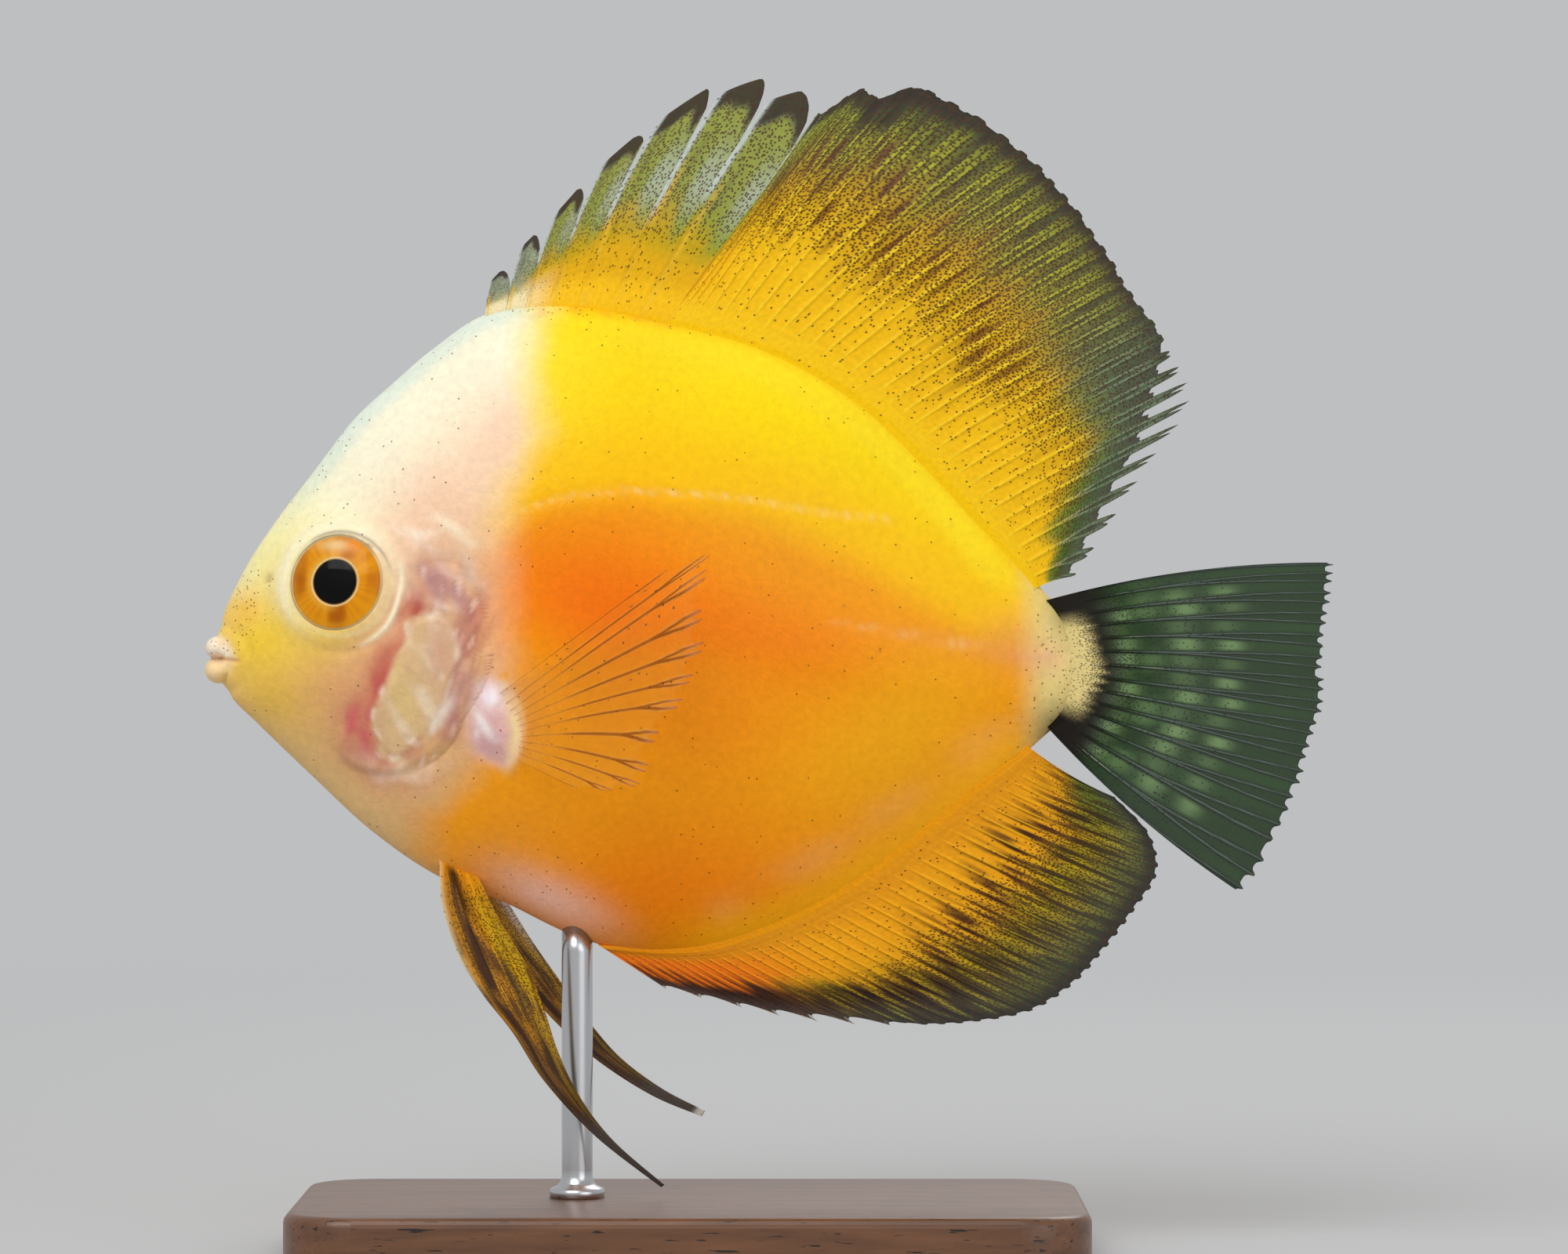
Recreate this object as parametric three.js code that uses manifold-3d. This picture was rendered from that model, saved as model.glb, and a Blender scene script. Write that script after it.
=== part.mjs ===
// A yellow discus fish as a life-size display model: a tall, thin disc of a body with a small mouth, swimming
// level above a flat base on one rod. Millimetres. The fish faces -X, its left side is towards -Y and +Z is up.
// The origin is the centre of the base's underside. Fish shapes are drawn in [x, h], where h is the height above
// the level line through the mouth and the tail root, and one group lifts them to their place over the base.
import * as THREE from "three";
import { mergeVertices } from "three/addons/utils/BufferGeometryUtils.js";
import Module from "manifold-3d";

const wasm = await Module();
wasm.setup();

// Driving sizes. The fish is 160 long from its lips to the upper tip of its tail fin.
const mouthHeight = 84;
const gap = 0.3;
const stand = { length: 112, depth: 64, height: 8, corner: 10, bevel: 1.2, rodRadius: 2.2, rodX: -16 };
const body = { headHalf: 13.4, tailHalf: 7.6, widestX: -30, narrowX: 48, roundness: 2.2 };
const fullness = { head: 0.62, finEdge: 0.8, from: -24, to: 2, stalk: 38 };
const eye = { x: -49, h: 11, radius: 7.2, bulge: 3.2, centreY: 7.4, turn: 0.26, tilt: 0.14, rim: 0.3 };
const gill = { inset: 0.9, proud: 0.7 };
const mouth = { x: -67, h: 0.58, lipHalf: 3.6, slit: 0.25 };
const nostril = { x: -59.4, h: 11.8, radius: 0.55 };
const fin = { web: 0.3, edge: 0.25, ray: 0.62, rayTip: 0.34, foot: 0.9, footLength: 0.1, sunk: 0.09 };

const colours = {
  cream: 0xf6e3b4,
  yellow: 0xffc414,
  orange: 0xf58a0c,
  pink: 0xe0a884,
  iris: 0xd98a12,
  smoke: 0x5d6650,
  amber: 0xb07a1c,
  walnut: 0x3a261a,
  steel: 0xb9bcc0,
};

// The body's outline without its fins, round from the snout over the back.
const outline = [
  [-67.3, 0.6], [-66.2, 6.8], [-63.1, 13.4], [-59, 19.7], [-53.4, 27], [-47.8, 34.3], [-42.3, 39.5],
  [-36.7, 44.3], [-28.9, 49.4], [-17, 50.8], [-4, 48.9], [10.6, 45.1], [24.5, 37.5], [37.3, 25.3],
  [45.6, 15.5], [50.2, 10], [54.7, 5], [56.3, -0.6], [55, -6.2], [50.4, -10.4], [44.5, -15.6],
  [35.6, -23], [24.5, -31.4], [13.4, -37.5], [2.2, -41], [-8, -41.2], [-17.2, -38.5], [-26, -34.2],
  [-35.6, -30.4], [-45.1, -24], [-53.4, -16.4], [-61, -9], [-65.6, -4.2],
];
const centre = [-5.6, 4];

// The same outline as a radius for each direction from the centre of the flank.
const rim = new THREE.CatmullRomCurve3(outline.map(([x, h]) => new THREE.Vector3(x, 0, h)), true, "centripetal")
  .getPoints(360)
  .map((p) => {
    const across = p.x - centre[0];
    const up = p.z - centre[1];
    return [Math.atan2(up, across), Math.hypot(across, up)];
  })
  .sort((a, b) => a[0] - b[0]);

function rimRadius(angle) {
  const turn = 2 * Math.PI;
  let next = rim.findIndex(([a]) => a > angle);
  if (next < 0) next = 0;
  const last = rim[(next + rim.length - 1) % rim.length];
  const ahead = (rim[next][0] - last[0] + turn) % turn;
  const share = ahead > 0 ? ((angle - last[0] + turn) % turn) / ahead : 0;
  return last[1] + (rim[next][1] - last[1]) * Math.min(share, 1);
}

const smooth = (t) => {
  const u = Math.min(Math.max(t, 0), 1);
  return u * u * (3 - 2 * u);
};
const mix = (a, b, t) => a + (b - a) * t;

// Half the body's thickness at the share rho of the way from the centre of the flank to its rim. The edge is full
// round the head and belly and drawn thinner where the long fins stand.
function halfWidth(x, rho, grow = 0) {
  const wide = mix(body.tailHalf, body.headHalf, smooth((body.narrowX - x) / (body.narrowX - body.widestX)));
  const thinning = smooth((x - fullness.from) / (fullness.to - fullness.from)) * smooth((fullness.stalk + 10 - x) / 10);
  return (wide + grow) * (1 - Math.min(rho, 1) ** body.roundness) ** mix(fullness.head, fullness.finEdge, thinning);
}

function flankY(x, h) {
  const across = x - centre[0];
  const up = h - centre[1];
  return halfWidth(x, Math.hypot(across, up) / rimRadius(Math.atan2(up, across)));
}

// A geometry as a solid, turned right way out, with its seams joined.
function solidOf(geometry) {
  const bare = geometry.clone();
  bare.deleteAttribute("normal");
  bare.deleteAttribute("uv");
  const merged = mergeVertices(bare, 1e-4);
  const at = merged.attributes.position;
  const corners = Uint32Array.from(merged.index.array);
  const [a, b, c] = [new THREE.Vector3(), new THREE.Vector3(), new THREE.Vector3()];
  let volume = 0;
  for (let i = 0; i < corners.length; i += 3) {
    a.fromBufferAttribute(at, corners[i]);
    b.fromBufferAttribute(at, corners[i + 1]);
    c.fromBufferAttribute(at, corners[i + 2]);
    volume += a.dot(b.cross(c));
  }
  if (volume < 0) corners.reverse();
  return new wasm.Manifold(new wasm.Mesh({ numProp: 3, vertProperties: at.array, triVerts: corners }));
}

// The largest closed surface of a solid, as a geometry.
function geometryOf(solid) {
  const largest = solid.decompose().sort((a, b) => b.volume() - a.volume())[0];
  const mesh = largest.getMesh();
  return new THREE.BufferGeometry()
    .setAttribute("position", new THREE.BufferAttribute(Float32Array.from(mesh.vertProperties), 3))
    .setIndex(new THREE.BufferAttribute(Uint32Array.from(mesh.triVerts), 1))
    .toNonIndexed();
}

// The whole body, grown by a distance all round: a sphere with its poles on the flanks, drawn out to the rim.
function bodySolid(grow = 0) {
  const crowding = 0.35;
  const ball = new THREE.SphereGeometry(1, 54, 20);
  const at = ball.attributes.position;
  for (let i = 0; i < at.count; i += 1) {
    const rho = Math.min(Math.hypot(at.getX(i), at.getZ(i)), 1);
    const even = Math.atan2(at.getZ(i), at.getX(i));
    const angle = even - crowding * Math.sin(even) * -1;
    const reach = rho * (rimRadius(Math.atan2(Math.sin(angle), Math.cos(angle))) + grow);
    const x = centre[0] + reach * Math.cos(angle);
    const h = centre[1] + reach * Math.sin(angle);
    at.setXYZ(i, x, Math.sign(at.getY(i)) * (rho > 0.9999 ? 0 : halfWidth(x, rho, grow)), h);
  }
  return solidOf(ball);
}

// A prism through the whole fish from a closed run of [x, h] points, from one y to another.
function prism(points, fromY, toY) {
  const shape = new THREE.Shape(points.map(([x, h]) => new THREE.Vector2(x, h)));
  const block = new THREE.ExtrudeGeometry(shape, { depth: toY - fromY, bevelEnabled: false });
  block.rotateX(Math.PI / 2);
  block.translate(0, toY, 0);
  return solidOf(block);
}

function ellipsoid([x, h], y, [rx, ry, rh], around = 16, down = 10) {
  const ball = new THREE.SphereGeometry(1, around, down);
  ball.scale(rx, ry, rh);
  ball.translate(x, y, h);
  return solidOf(ball);
}

const spline = (points) => new THREE.SplineCurve(points.map(([a, b]) => new THREE.Vector2(a, b)));

// Fins are closed sheets of columns that run from root to tip. A column says its place s along the fin, how far
// it reaches and whether it is a ray, which stands up as a ridge on both faces.
function finSheet(columns, rows, place, thickness) {
  const points = [];
  for (const side of [-1, 1]) {
    for (const column of columns) {
      for (let k = 0; k <= rows; k += 1) {
        const t = k / rows;
        const [x, y, h] = place(column.s, t * column.reach);
        points.push(x, y + side * thickness(column, t), h);
      }
    }
  }
  const tall = rows + 1;
  const back = columns.length * tall;
  const last = columns.length - 1;
  const corners = [];
  const quad = (a, b, c, d) => corners.push(a, b, c, a, c, d);
  for (let j = 0; j < last; j += 1) {
    for (let k = 0; k < rows; k += 1) {
      const [a, b, c, d] = [j * tall + k, (j + 1) * tall + k, (j + 1) * tall + k + 1, j * tall + k + 1];
      corners.push(a, b, c, a, c, d);
      corners.push(back + a, back + c, back + b, back + a, back + d, back + c);
    }
    quad(j * tall, back + j * tall, back + (j + 1) * tall, (j + 1) * tall);
    quad((j + 1) * tall + rows, back + (j + 1) * tall + rows, back + j * tall + rows, j * tall + rows);
  }
  for (let k = 0; k < rows; k += 1) {
    quad(k, k + 1, back + k + 1, back + k);
    quad(last * tall + k, back + last * tall + k, back + last * tall + k + 1, last * tall + k + 1);
  }
  const sheet = new THREE.BufferGeometry();
  sheet.setAttribute("position", new THREE.Float32BufferAttribute(points, 3));
  sheet.setIndex(corners);
  return solidOf(sheet);
}

// Half the thickness of a column: a fleshy foot, then the thin web, or the ray tapering along it.
function finThickness(column, t) {
  const foot = fin.foot * Math.exp(-Math.max(t - fin.sunk, 0) / fin.footLength);
  const thin = mix(fin.web, fin.edge, t);
  const ray = mix(fin.ray, fin.rayTip, t);
  return Math.max(foot, column.ray ? ray : thin);
}

// A fin drawn by pairs of root and tip points, evenly spread along it, whose rays bow forwards.
function pairedFin(pairs, bow, swayY) {
  const roots = spline(pairs.map(([root]) => root));
  const tips = spline(pairs.map(([, tip]) => tip));
  return (s, t) => {
    const root = roots.getPoint(s);
    const tip = tips.getPoint(s);
    const along = tip.clone().sub(root);
    const start = root.clone().addScaledVector(along, -fin.sunk);
    const across = new THREE.Vector2(-along.y, along.x).normalize();
    const middle = start.clone().add(tip).multiplyScalar(0.5).addScaledVector(across, 2 * bow(s));
    const p = new THREE.QuadraticBezierCurve(start, middle, tip).getPoint(t);
    return [p.x, swayY(p.x, p.y, t, s), p.y];
  };
}

// Rays at even places from one s to another, each with the web behind it held back by a notch.
function rayColumns(from, to, count, notch) {
  const columns = [];
  for (let i = 0; i < count; i += 1) {
    const s = mix(from, to, i / (count - 1));
    columns.push({ s, reach: 1, ray: true });
    if (i < count - 1) columns.push({ s: s + (0.5 * (to - from)) / (count - 1), reach: 1 - notch(s), ray: false });
  }
  return columns;
}

// Spines end in free points: the web behind each one falls away in a curve to a narrow cleft.
function spineColumns(from, step, clefts) {
  return clefts.flatMap((cleft, i) => {
    const s = from + i * step;
    return [
      { s, reach: 1, ray: true },
      { s: s + 0.42 * step, reach: 0.97, ray: false },
      { s: s + 0.72 * step, reach: mix(1, cleft, 0.35), ray: false },
      { s: s + 0.86 * step, reach: cleft, ray: false },
    ];
  });
}

const lean = (x, h, from) => 0.05 * Math.abs(h - from) * Math.sin((x + 20) / 28);

// Dorsal fin: seven free spines, then the long soft-rayed part.
const dorsalPairs = [
  [[-28.7, 49.4], [-26.9, 56.4]],
  [[-25.6, 50.2], [-21.8, 61.4]],
  [[-22.2, 50.7], [-16.1, 67.2]],
  [[-18.7, 50.8], [-8.6, 73.3]],
  [[-15, 50.7], [1.7, 80.8]],
  [[-11.1, 50.3], [9, 82.8]],
  [[-6.1, 49.5], [14.8, 81]],
  [[-1.3, 48.2], [23.9, 81.9]],
  [[5.7, 46.7], [35.6, 80.5]],
  [[12.5, 44.2], [46.5, 73.2]],
  [[18.9, 40.9], [53.1, 66.7]],
  [[25.1, 36.9], [58.8, 58.7]],
  [[30.7, 32.2], [63, 51.9]],
  [[35.7, 26.8], [67.7, 45.3]],
  [[40.5, 21.3], [70.4, 37.6]],
  [[45.3, 15.8], [64.2, 26.2]],
  [[49.5, 10.6], [54.6, 12.2]],
];
const dorsalClefts = [0.5, 0.57, 0.52, 0.49, 0.53, 0.64, 0.82];
const dorsalBow = (s) => mix(1.4, 0.4, smooth((s - 0.45) / 0.5)) * smooth(s * 8 + 0.2);
const dorsalPlace = pairedFin(dorsalPairs, dorsalBow, (x, h, t) => lean(x, h, 48) * t);

// Anal fin: eight low spines laid back along the belly, then the soft rays.
const analPairs = [
  [[-12.2, -40.6], [-3.3, -46.4]],
  [[-7.8, -41], [5.6, -48.6]],
  [[-2.8, -41.2], [14.5, -50.5]],
  [[2.8, -40.8], [23.4, -51.4]],
  [[8.3, -39.2], [31.7, -51.5]],
  [[13.4, -37.2], [40.1, -51.1]],
  [[18.9, -34.4], [48.4, -49.5]],
  [[24.5, -31.2], [54.5, -45.8]],
  [[30, -27.1], [59, -40.8]],
  [[35.6, -22.9], [63.1, -35.4]],
  [[40.6, -18.7], [66.4, -30]],
  [[45, -15.4], [65.3, -24.4]],
  [[48.8, -12.4], [60.4, -19.2]],
];
const analSway = (x, h, t) => lean(x, h, -40) * t * 0.6 + 1.8 * smooth((x - 48) / 7);
const analPlace = pairedFin(analPairs, (s) => -0.5 * smooth(s * 3), analSway);

// Tail fin: a fan of forked rays, its lower lobe spread.
const caudalPairs = [
  [[52.4, 8.6], [91.1, 14.3]],
  [[54.2, 5.6], [89.9, 8.2]],
  [[55.6, 1.9], [89.2, 1]],
  [[56, -2], [89.4, -6.2]],
  [[55, -5.4], [87.4, -13.8]],
  [[53.3, -7.9], [84.3, -22.6]],
  [[51.6, -9.4], [77.9, -32.6]],
];
const caudalBow = (s) => mix(0.3, -0.9, s);
const caudalSway = (x) => -0.9 * smooth((x - 50) / 7) - 0.0018 * (x - 50) ** 2;
const caudalPlace = pairedFin(caudalPairs, caudalBow, caudalSway);

// Pectoral fin, spread back over the flank and standing off it.
const pectoralPairs = [
  [[-25.9, -3.9], [-3.4, 12.7]],
  [[-24.6, -5.1], [2.8, 15]],
  [[-23.8, -6], [2.2, 12.2]],
  [[-23.2, -6.8], [2.4, 6.9]],
  [[-22.8, -7.7], [2.2, 2.3]],
  [[-22.5, -8.6], [0.9, -2.1]],
  [[-22.3, -9.5], [-1.2, -5.6]],
  [[-22.2, -10.4], [-4.1, -10.3]],
  [[-22.3, -11.3], [-5.5, -14.7]],
  [[-22.5, -12.2], [-6.9, -17]],
  [[-22.8, -13.1], [-10.9, -17.8]],
  [[-23.3, -13.9], [-15.6, -17.4]],
];
const pectoral = { rootY: 12.2, stand: 9.5, lobe: [-24.4, -9.2], lobeSize: [2.4, 2.6, 6.2] };

// Pelvic fins: long blades drawn out to a point, each given by its front and rear edges.
const pelvicLeft = {
  front: [[-35, -27.2], [-35.3, -33.2], [-32.5, -41.5], [-29, -48], [-23.9, -54.2], [-18.9, -60.6], [-12.2, -67.8], [-4.4, -74]],
  rear: [[-29.2, -28.6], [-27, -35.5], [-24, -42.6], [-21, -49.6], [-17.6, -56.8], [-13.6, -63.6], [-9, -69.4], [-3.7, -73.6]],
  y: [-2.9, -4.6, -6, -6.8, -7, -6.8, -6.4, -5.8],
};
const pelvicRight = {
  front: [[-35, -27.2], [-33.6, -34], [-29.5, -40.8], [-24.2, -46.6], [-17.4, -51.8], [-10.6, -57.6], [-3.3, -62], [1.8, -64.9]],
  rear: [[-29.2, -28.6], [-26, -34.6], [-22.6, -40.2], [-18.4, -46], [-14, -51.6], [-8.7, -56.6], [-2.8, -61.1], [2.2, -64.2]],
  y: [2.9, 4.6, 5.8, 6.4, 6.6, 6.4, 6, 5.6],
};

function bladePlace(blade) {
  const front = spline(blade.front);
  const rear = spline(blade.rear);
  const out = spline(blade.y.map((y, i) => [i, y]));
  return (s, t) => {
    const p = front.getPoint(t).lerp(rear.getPoint(t), s);
    return [p.x, out.getPoint(t).y, p.y];
  };
}

function pectoralFin(side) {
  const flat = pairedFin(pectoralPairs, () => 0, () => 0);
  const place = (s, t) => {
    const [x, , h] = flat(s, t);
    return [x, side * (pectoral.rootY - 1 + pectoral.stand * t ** 0.85), h];
  };
  const thick = (column, t) => mix(column.ray ? 0.42 : fin.edge, fin.edge, t);
  return finSheet(rayColumns(0, 1, 12, (s) => mix(0.04, 0.1, s)), 5, place, thick);
}

function pelvicFin(blade) {
  const thick = (column, t) => mix(column.ray ? 0.75 : 0.45, 0.3, t);
  return finSheet(rayColumns(0, 1, 6, () => 0), 10, bladePlace(blade), thick);
}

// Each tail ray forks in its outer half: two ridges part with the web sunk between them.
function forkedColumns(count) {
  const columns = [];
  const step = 1 / (count - 1);
  for (let i = 0; i < count; i += 1) {
    const s = i * step;
    if (i > 0) columns.push({ s, reach: 1, ray: true, fork: -0.22 * step });
    columns.push({ s, reach: 0.985, ray: false, fork: 0 });
    if (i < count - 1) {
      columns.push({ s, reach: 1, ray: true, fork: 0.22 * step });
      columns.push({ s: s + 0.5 * step, reach: 0.975, ray: false, fork: 0 });
    }
  }
  return columns;
}

// Construction starts here: the body with its lips, orbit rims and pectoral lobes.
const eyeShapes = [-1, 1].map((side) => {
  const placed = (geometry) => {
    if (side < 0) geometry.rotateX(Math.PI);
    geometry.rotateX(side * eye.tilt);
    geometry.rotateZ(side * eye.turn);
    geometry.translate(eye.x, side * eye.centreY, eye.h);
    return geometry;
  };
  const ball = (grow) => {
    const dome = new THREE.SphereGeometry(1, 22, 12);
    dome.scale(eye.radius + grow, eye.bulge + grow, eye.radius + grow);
    return solidOf(placed(dome));
  };
  const surface = flankY(eye.x, eye.h) - eye.centreY;
  const collar = [[0, -2], [8.4, -2], [8.4, surface - 0.5], [7.2, surface + eye.rim], [0, surface + eye.rim]];
  const ring = new THREE.LatheGeometry(collar.map(([r, y]) => new THREE.Vector2(r, y)), 22);
  return { ball: ball(0), socket: ball(gap), rim: solidOf(placed(ring)) };
});

const lips = [
  ellipsoid([mouth.x, mouth.h + 1.5], 0, [1.75, mouth.lipHalf, 1.6]),
  ellipsoid([mouth.x + 0.1, mouth.h - 1.7], 0, [1.9, mouth.lipHalf - 0.2, 1.85]),
];
const mouthSlit = ellipsoid([mouth.x - 0.4, mouth.h], 0, [4.6, 4.4, mouth.slit], 20, 8);
const nostrils = [-1, 1].map((side) =>
  ellipsoid([nostril.x, nostril.h], side * flankY(nostril.x, nostril.h), Array(3).fill(nostril.radius), 8, 6),
);
const lobes = [-1, 1].map((side) =>
  ellipsoid(pectoral.lobe, side * (flankY(...pectoral.lobe) - 1.2), pectoral.lobeSize, 14, 10),
);

let flesh = bodySolid();
for (const piece of [...lips, ...lobes, ...eyeShapes.map((e) => e.rim)]) flesh = flesh.add(piece);
for (const tool of [mouthSlit, ...nostrils, ...eyeShapes.map((e) => e.socket)]) flesh = flesh.subtract(tool);

// Gill covers: plates let into the head, standing a little proud of it.
const gillOutline = [
  [-36.2, 13], [-38.9, 11], [-41.7, 1.7], [-44.5, -3.9], [-47, -9.5], [-46, -13.2], [-42.3, -15.4],
  [-36.5, -15.6], [-31.2, -13.4], [-28.6, -8], [-27.5, -1.7], [-27.6, 3.9], [-29.4, 8.9], [-32.3, 12],
];
const gillMiddle = [-36.5, -1.5];
const gillCurve = new THREE.CatmullRomCurve3(gillOutline.map(([x, h]) => new THREE.Vector3(x, h, 0)), true);
const gillPoints = (margin) =>
  gillCurve.getPoints(22).slice(0, -1).map((p) => {
    const reach = Math.hypot(p.x - gillMiddle[0], p.y - gillMiddle[1]);
    const grown = (reach + margin) / reach;
    return [mix(gillMiddle[0], p.x, grown), mix(gillMiddle[1], p.y, grown)];
  });
const bodyWidth = 20;
const underGill = bodySolid(-gill.inset - gap);
const gillSeat = prism(gillPoints(gap), -bodyWidth, bodyWidth).subtract(underGill);
const gillSkin = bodySolid(gill.proud).subtract(bodySolid(-gill.inset));
const gillCovers = [-1, 1].map((side) => {
  const reach = side < 0 ? [-bodyWidth, -2] : [2, bodyWidth];
  return prism(gillPoints(0), ...reach).intersect(gillSkin);
});
flesh = flesh.subtract(gillSeat);

// The body is parted behind the gill covers and before the tail stalk by thin cuts.
const neckCut = [
  [-29.5, 60], [-28, 45], [-26.4, 30], [-25.2, 15], [-24.8, 4], [-25.9, -2], [-26.6, -9], [-29.4, -15.5],
  [-34.5, -21], [-38.6, -27], [-40.5, -40],
];
const stalkX = 46;
const headRegion = (shift) => [[-90, -40], [-90, 60], ...neckCut.map(([x, h]) => [x + shift, h])];
const headSpace = (shift) => prism(headRegion(shift), -bodyWidth, bodyWidth);
const stalkSpace = (x) => prism([[x, -30], [x, 30], [80, 30], [80, -30]], -bodyWidth, bodyWidth);
const headPart = flesh.intersect(headSpace(0));
const torsoPart = flesh.subtract(headSpace(gap)).subtract(stalkSpace(stalkX));
const stalkPart = flesh.intersect(stalkSpace(stalkX + gap));

// Fins are cut where they meet the body, with the gap that touching pieces keep.
const clearOfBody = bodySolid(gap + 0.12);
const lobeGaps = [-1, 1].map((side) =>
  ellipsoid(pectoral.lobe, side * (flankY(...pectoral.lobe) - 1.2), pectoral.lobeSize.map((r) => r + gap), 14, 10),
);
const dorsalStep = 1 / (dorsalPairs.length - 1);
const dorsalColumns = [
  ...spineColumns(0, dorsalStep, dorsalClefts),
  ...rayColumns(dorsalClefts.length * dorsalStep, 1, 25, (s) => mix(0.01, 0.1, smooth((s - 0.8) / 0.12))),
];
const dorsalFin = finSheet(dorsalColumns, 6, dorsalPlace, finThickness).subtract(clearOfBody);
const analColumns = rayColumns(0, 1, 30, (s) => mix(0.07, 0.01, smooth((s - 0.15) / 0.2)));
const analFin = finSheet(analColumns, 5, analPlace, finThickness).subtract(clearOfBody);

const forked = (column, t) => column.s + (column.fork ?? 0) * mix(0.5, 1, smooth((t - 0.35) / 0.4));
const caudalColumns = forkedColumns(14);
const caudalFin = finSheet(
  caudalColumns.map((column) => ({ ...column, s: column })),
  6,
  (column, t) => caudalPlace(forked(column, t), t),
  finThickness,
).subtract(clearOfBody);

const pectorals = [-1, 1].map((side, i) => pectoralFin(side).subtract(clearOfBody).subtract(lobeGaps[i]));
const pelvics = [pelvicLeft, pelvicRight].map((blade) => pelvicFin(blade).subtract(clearOfBody));

// The stand: a flat base with rounded corners, with one rod to the belly.
function baseGeometry() {
  const { length, depth, height, corner, bevel } = stand;
  const [x, y] = [length / 2 - bevel, depth / 2 - bevel];
  const plan = new THREE.Shape();
  plan.moveTo(-x + corner, -y);
  plan.lineTo(x - corner, -y);
  plan.absarc(x - corner, -y + corner, corner, -Math.PI / 2, 0);
  plan.absarc(x - corner, y - corner, corner, 0, Math.PI / 2);
  plan.absarc(-x + corner, y - corner, corner, Math.PI / 2, Math.PI);
  plan.absarc(-x + corner, -y + corner, corner, Math.PI, 1.5 * Math.PI);
  const base = new THREE.ExtrudeGeometry(plan, {
    depth: height - 2 * bevel,
    bevelThickness: bevel,
    bevelSize: bevel,
    bevelSegments: 1,
    curveSegments: 5,
  });
  base.translate(0, 0, bevel);
  return base;
}

function rodSolid() {
  const foot = stand.height + gap - mouthHeight;
  const top = -30;
  const rod = new THREE.CylinderGeometry(stand.rodRadius, stand.rodRadius, top - foot, 20);
  rod.rotateX(Math.PI / 2);
  rod.translate(stand.rodX, 0, (top + foot) / 2);
  return solidOf(rod).subtract(clearOfBody);
}

// The scene graph: the fish's group is lifted to its height, and the base stands on the floor.
const model = new THREE.Group();
const fish = new THREE.Group();
fish.position.z = mouthHeight;
model.add(fish);

function addTo(group, name, geometry, color, roughness = 0.5, metalness = 0) {
  const mesh = new THREE.Mesh(geometry, new THREE.MeshStandardMaterial({ color, roughness, metalness }));
  mesh.name = name;
  group.add(mesh);
}

addTo(fish, "head", geometryOf(headPart), colours.cream);
addTo(fish, "torso", geometryOf(torsoPart), colours.yellow);
addTo(fish, "tail_stalk", geometryOf(stalkPart), colours.orange);
addTo(fish, "dorsal_fin", geometryOf(dorsalFin), colours.yellow);
addTo(fish, "anal_fin", geometryOf(analFin), colours.orange);
addTo(fish, "caudal_fin", geometryOf(caudalFin), colours.smoke);
["left", "right"].forEach((side, i) => {
  addTo(fish, `gill_cover_${side}`, geometryOf(gillCovers[i]), colours.pink);
  addTo(fish, `eye_${side}`, geometryOf(eyeShapes[i].ball), colours.iris, 0.1);
  addTo(fish, `pectoral_fin_${side}`, geometryOf(pectorals[i]), colours.amber);
  addTo(fish, `pelvic_fin_${side}`, geometryOf(pelvics[i]), colours.amber);
});
addTo(fish, "stand_rod", geometryOf(rodSolid()), colours.steel, 0.3, 1);
addTo(model, "stand_base", baseGeometry(), colours.walnut, 0.4);

export default model;
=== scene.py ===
# A yellow discus fish on a small stand: one skin, eyes, rayed fins and the stand's finish.
# Fish shapes are worked out in millimetres as x, y and the height h above the mouth line.
import math

import bmesh
import bpy
import numpy as np

from mathutils import Matrix


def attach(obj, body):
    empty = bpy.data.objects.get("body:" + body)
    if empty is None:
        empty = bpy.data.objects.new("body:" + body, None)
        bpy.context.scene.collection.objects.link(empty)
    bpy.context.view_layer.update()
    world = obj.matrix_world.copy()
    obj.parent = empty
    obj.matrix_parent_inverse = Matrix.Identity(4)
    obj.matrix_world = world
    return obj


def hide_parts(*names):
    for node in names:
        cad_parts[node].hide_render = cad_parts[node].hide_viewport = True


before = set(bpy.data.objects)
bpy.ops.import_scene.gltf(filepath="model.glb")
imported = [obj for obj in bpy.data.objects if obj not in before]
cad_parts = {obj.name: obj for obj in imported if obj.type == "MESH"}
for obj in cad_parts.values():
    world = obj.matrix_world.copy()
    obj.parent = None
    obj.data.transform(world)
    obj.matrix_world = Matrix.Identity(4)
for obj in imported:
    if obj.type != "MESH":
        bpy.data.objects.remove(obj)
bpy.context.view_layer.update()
mm = 0.001
mouthHeight = 84.0  # millimetres from the floor to the mouth line


def smooth(t):
    u = np.clip(t, 0.0, 1.0)
    return u * u * (3 - 2 * u)


def ramp(value, start, width):  # rises softly from 0 to 1 over the width, or falls where it is negative
    return smooth((value - start) / width)


def window(value, first, last, width):
    return ramp(value, first, width) * ramp(value, last, -width)


def mix(a, b, t):
    return a + (b - a) * t


def hill(value, middle, width):
    return np.exp(-(((value - middle) / width) ** 2))


def rgb(code):  # a paint code such as "f5c010" as linear light
    raw = np.array([int(code[i:i + 2], 16) / 255 for i in (0, 2, 4)])
    return np.where(raw <= 0.04045, raw / 12.92, ((raw + 0.055) / 1.055) ** 2.4)


def lay(paint, *coats):  # coats of colour over the paint so far, each through its mask
    if isinstance(paint, str):
        paint = rgb(paint)[None, :]
    for mask, code in coats:
        paint = mix(paint, rgb(code), np.clip(mask, 0, 1)[:, None])
    return paint


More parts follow.
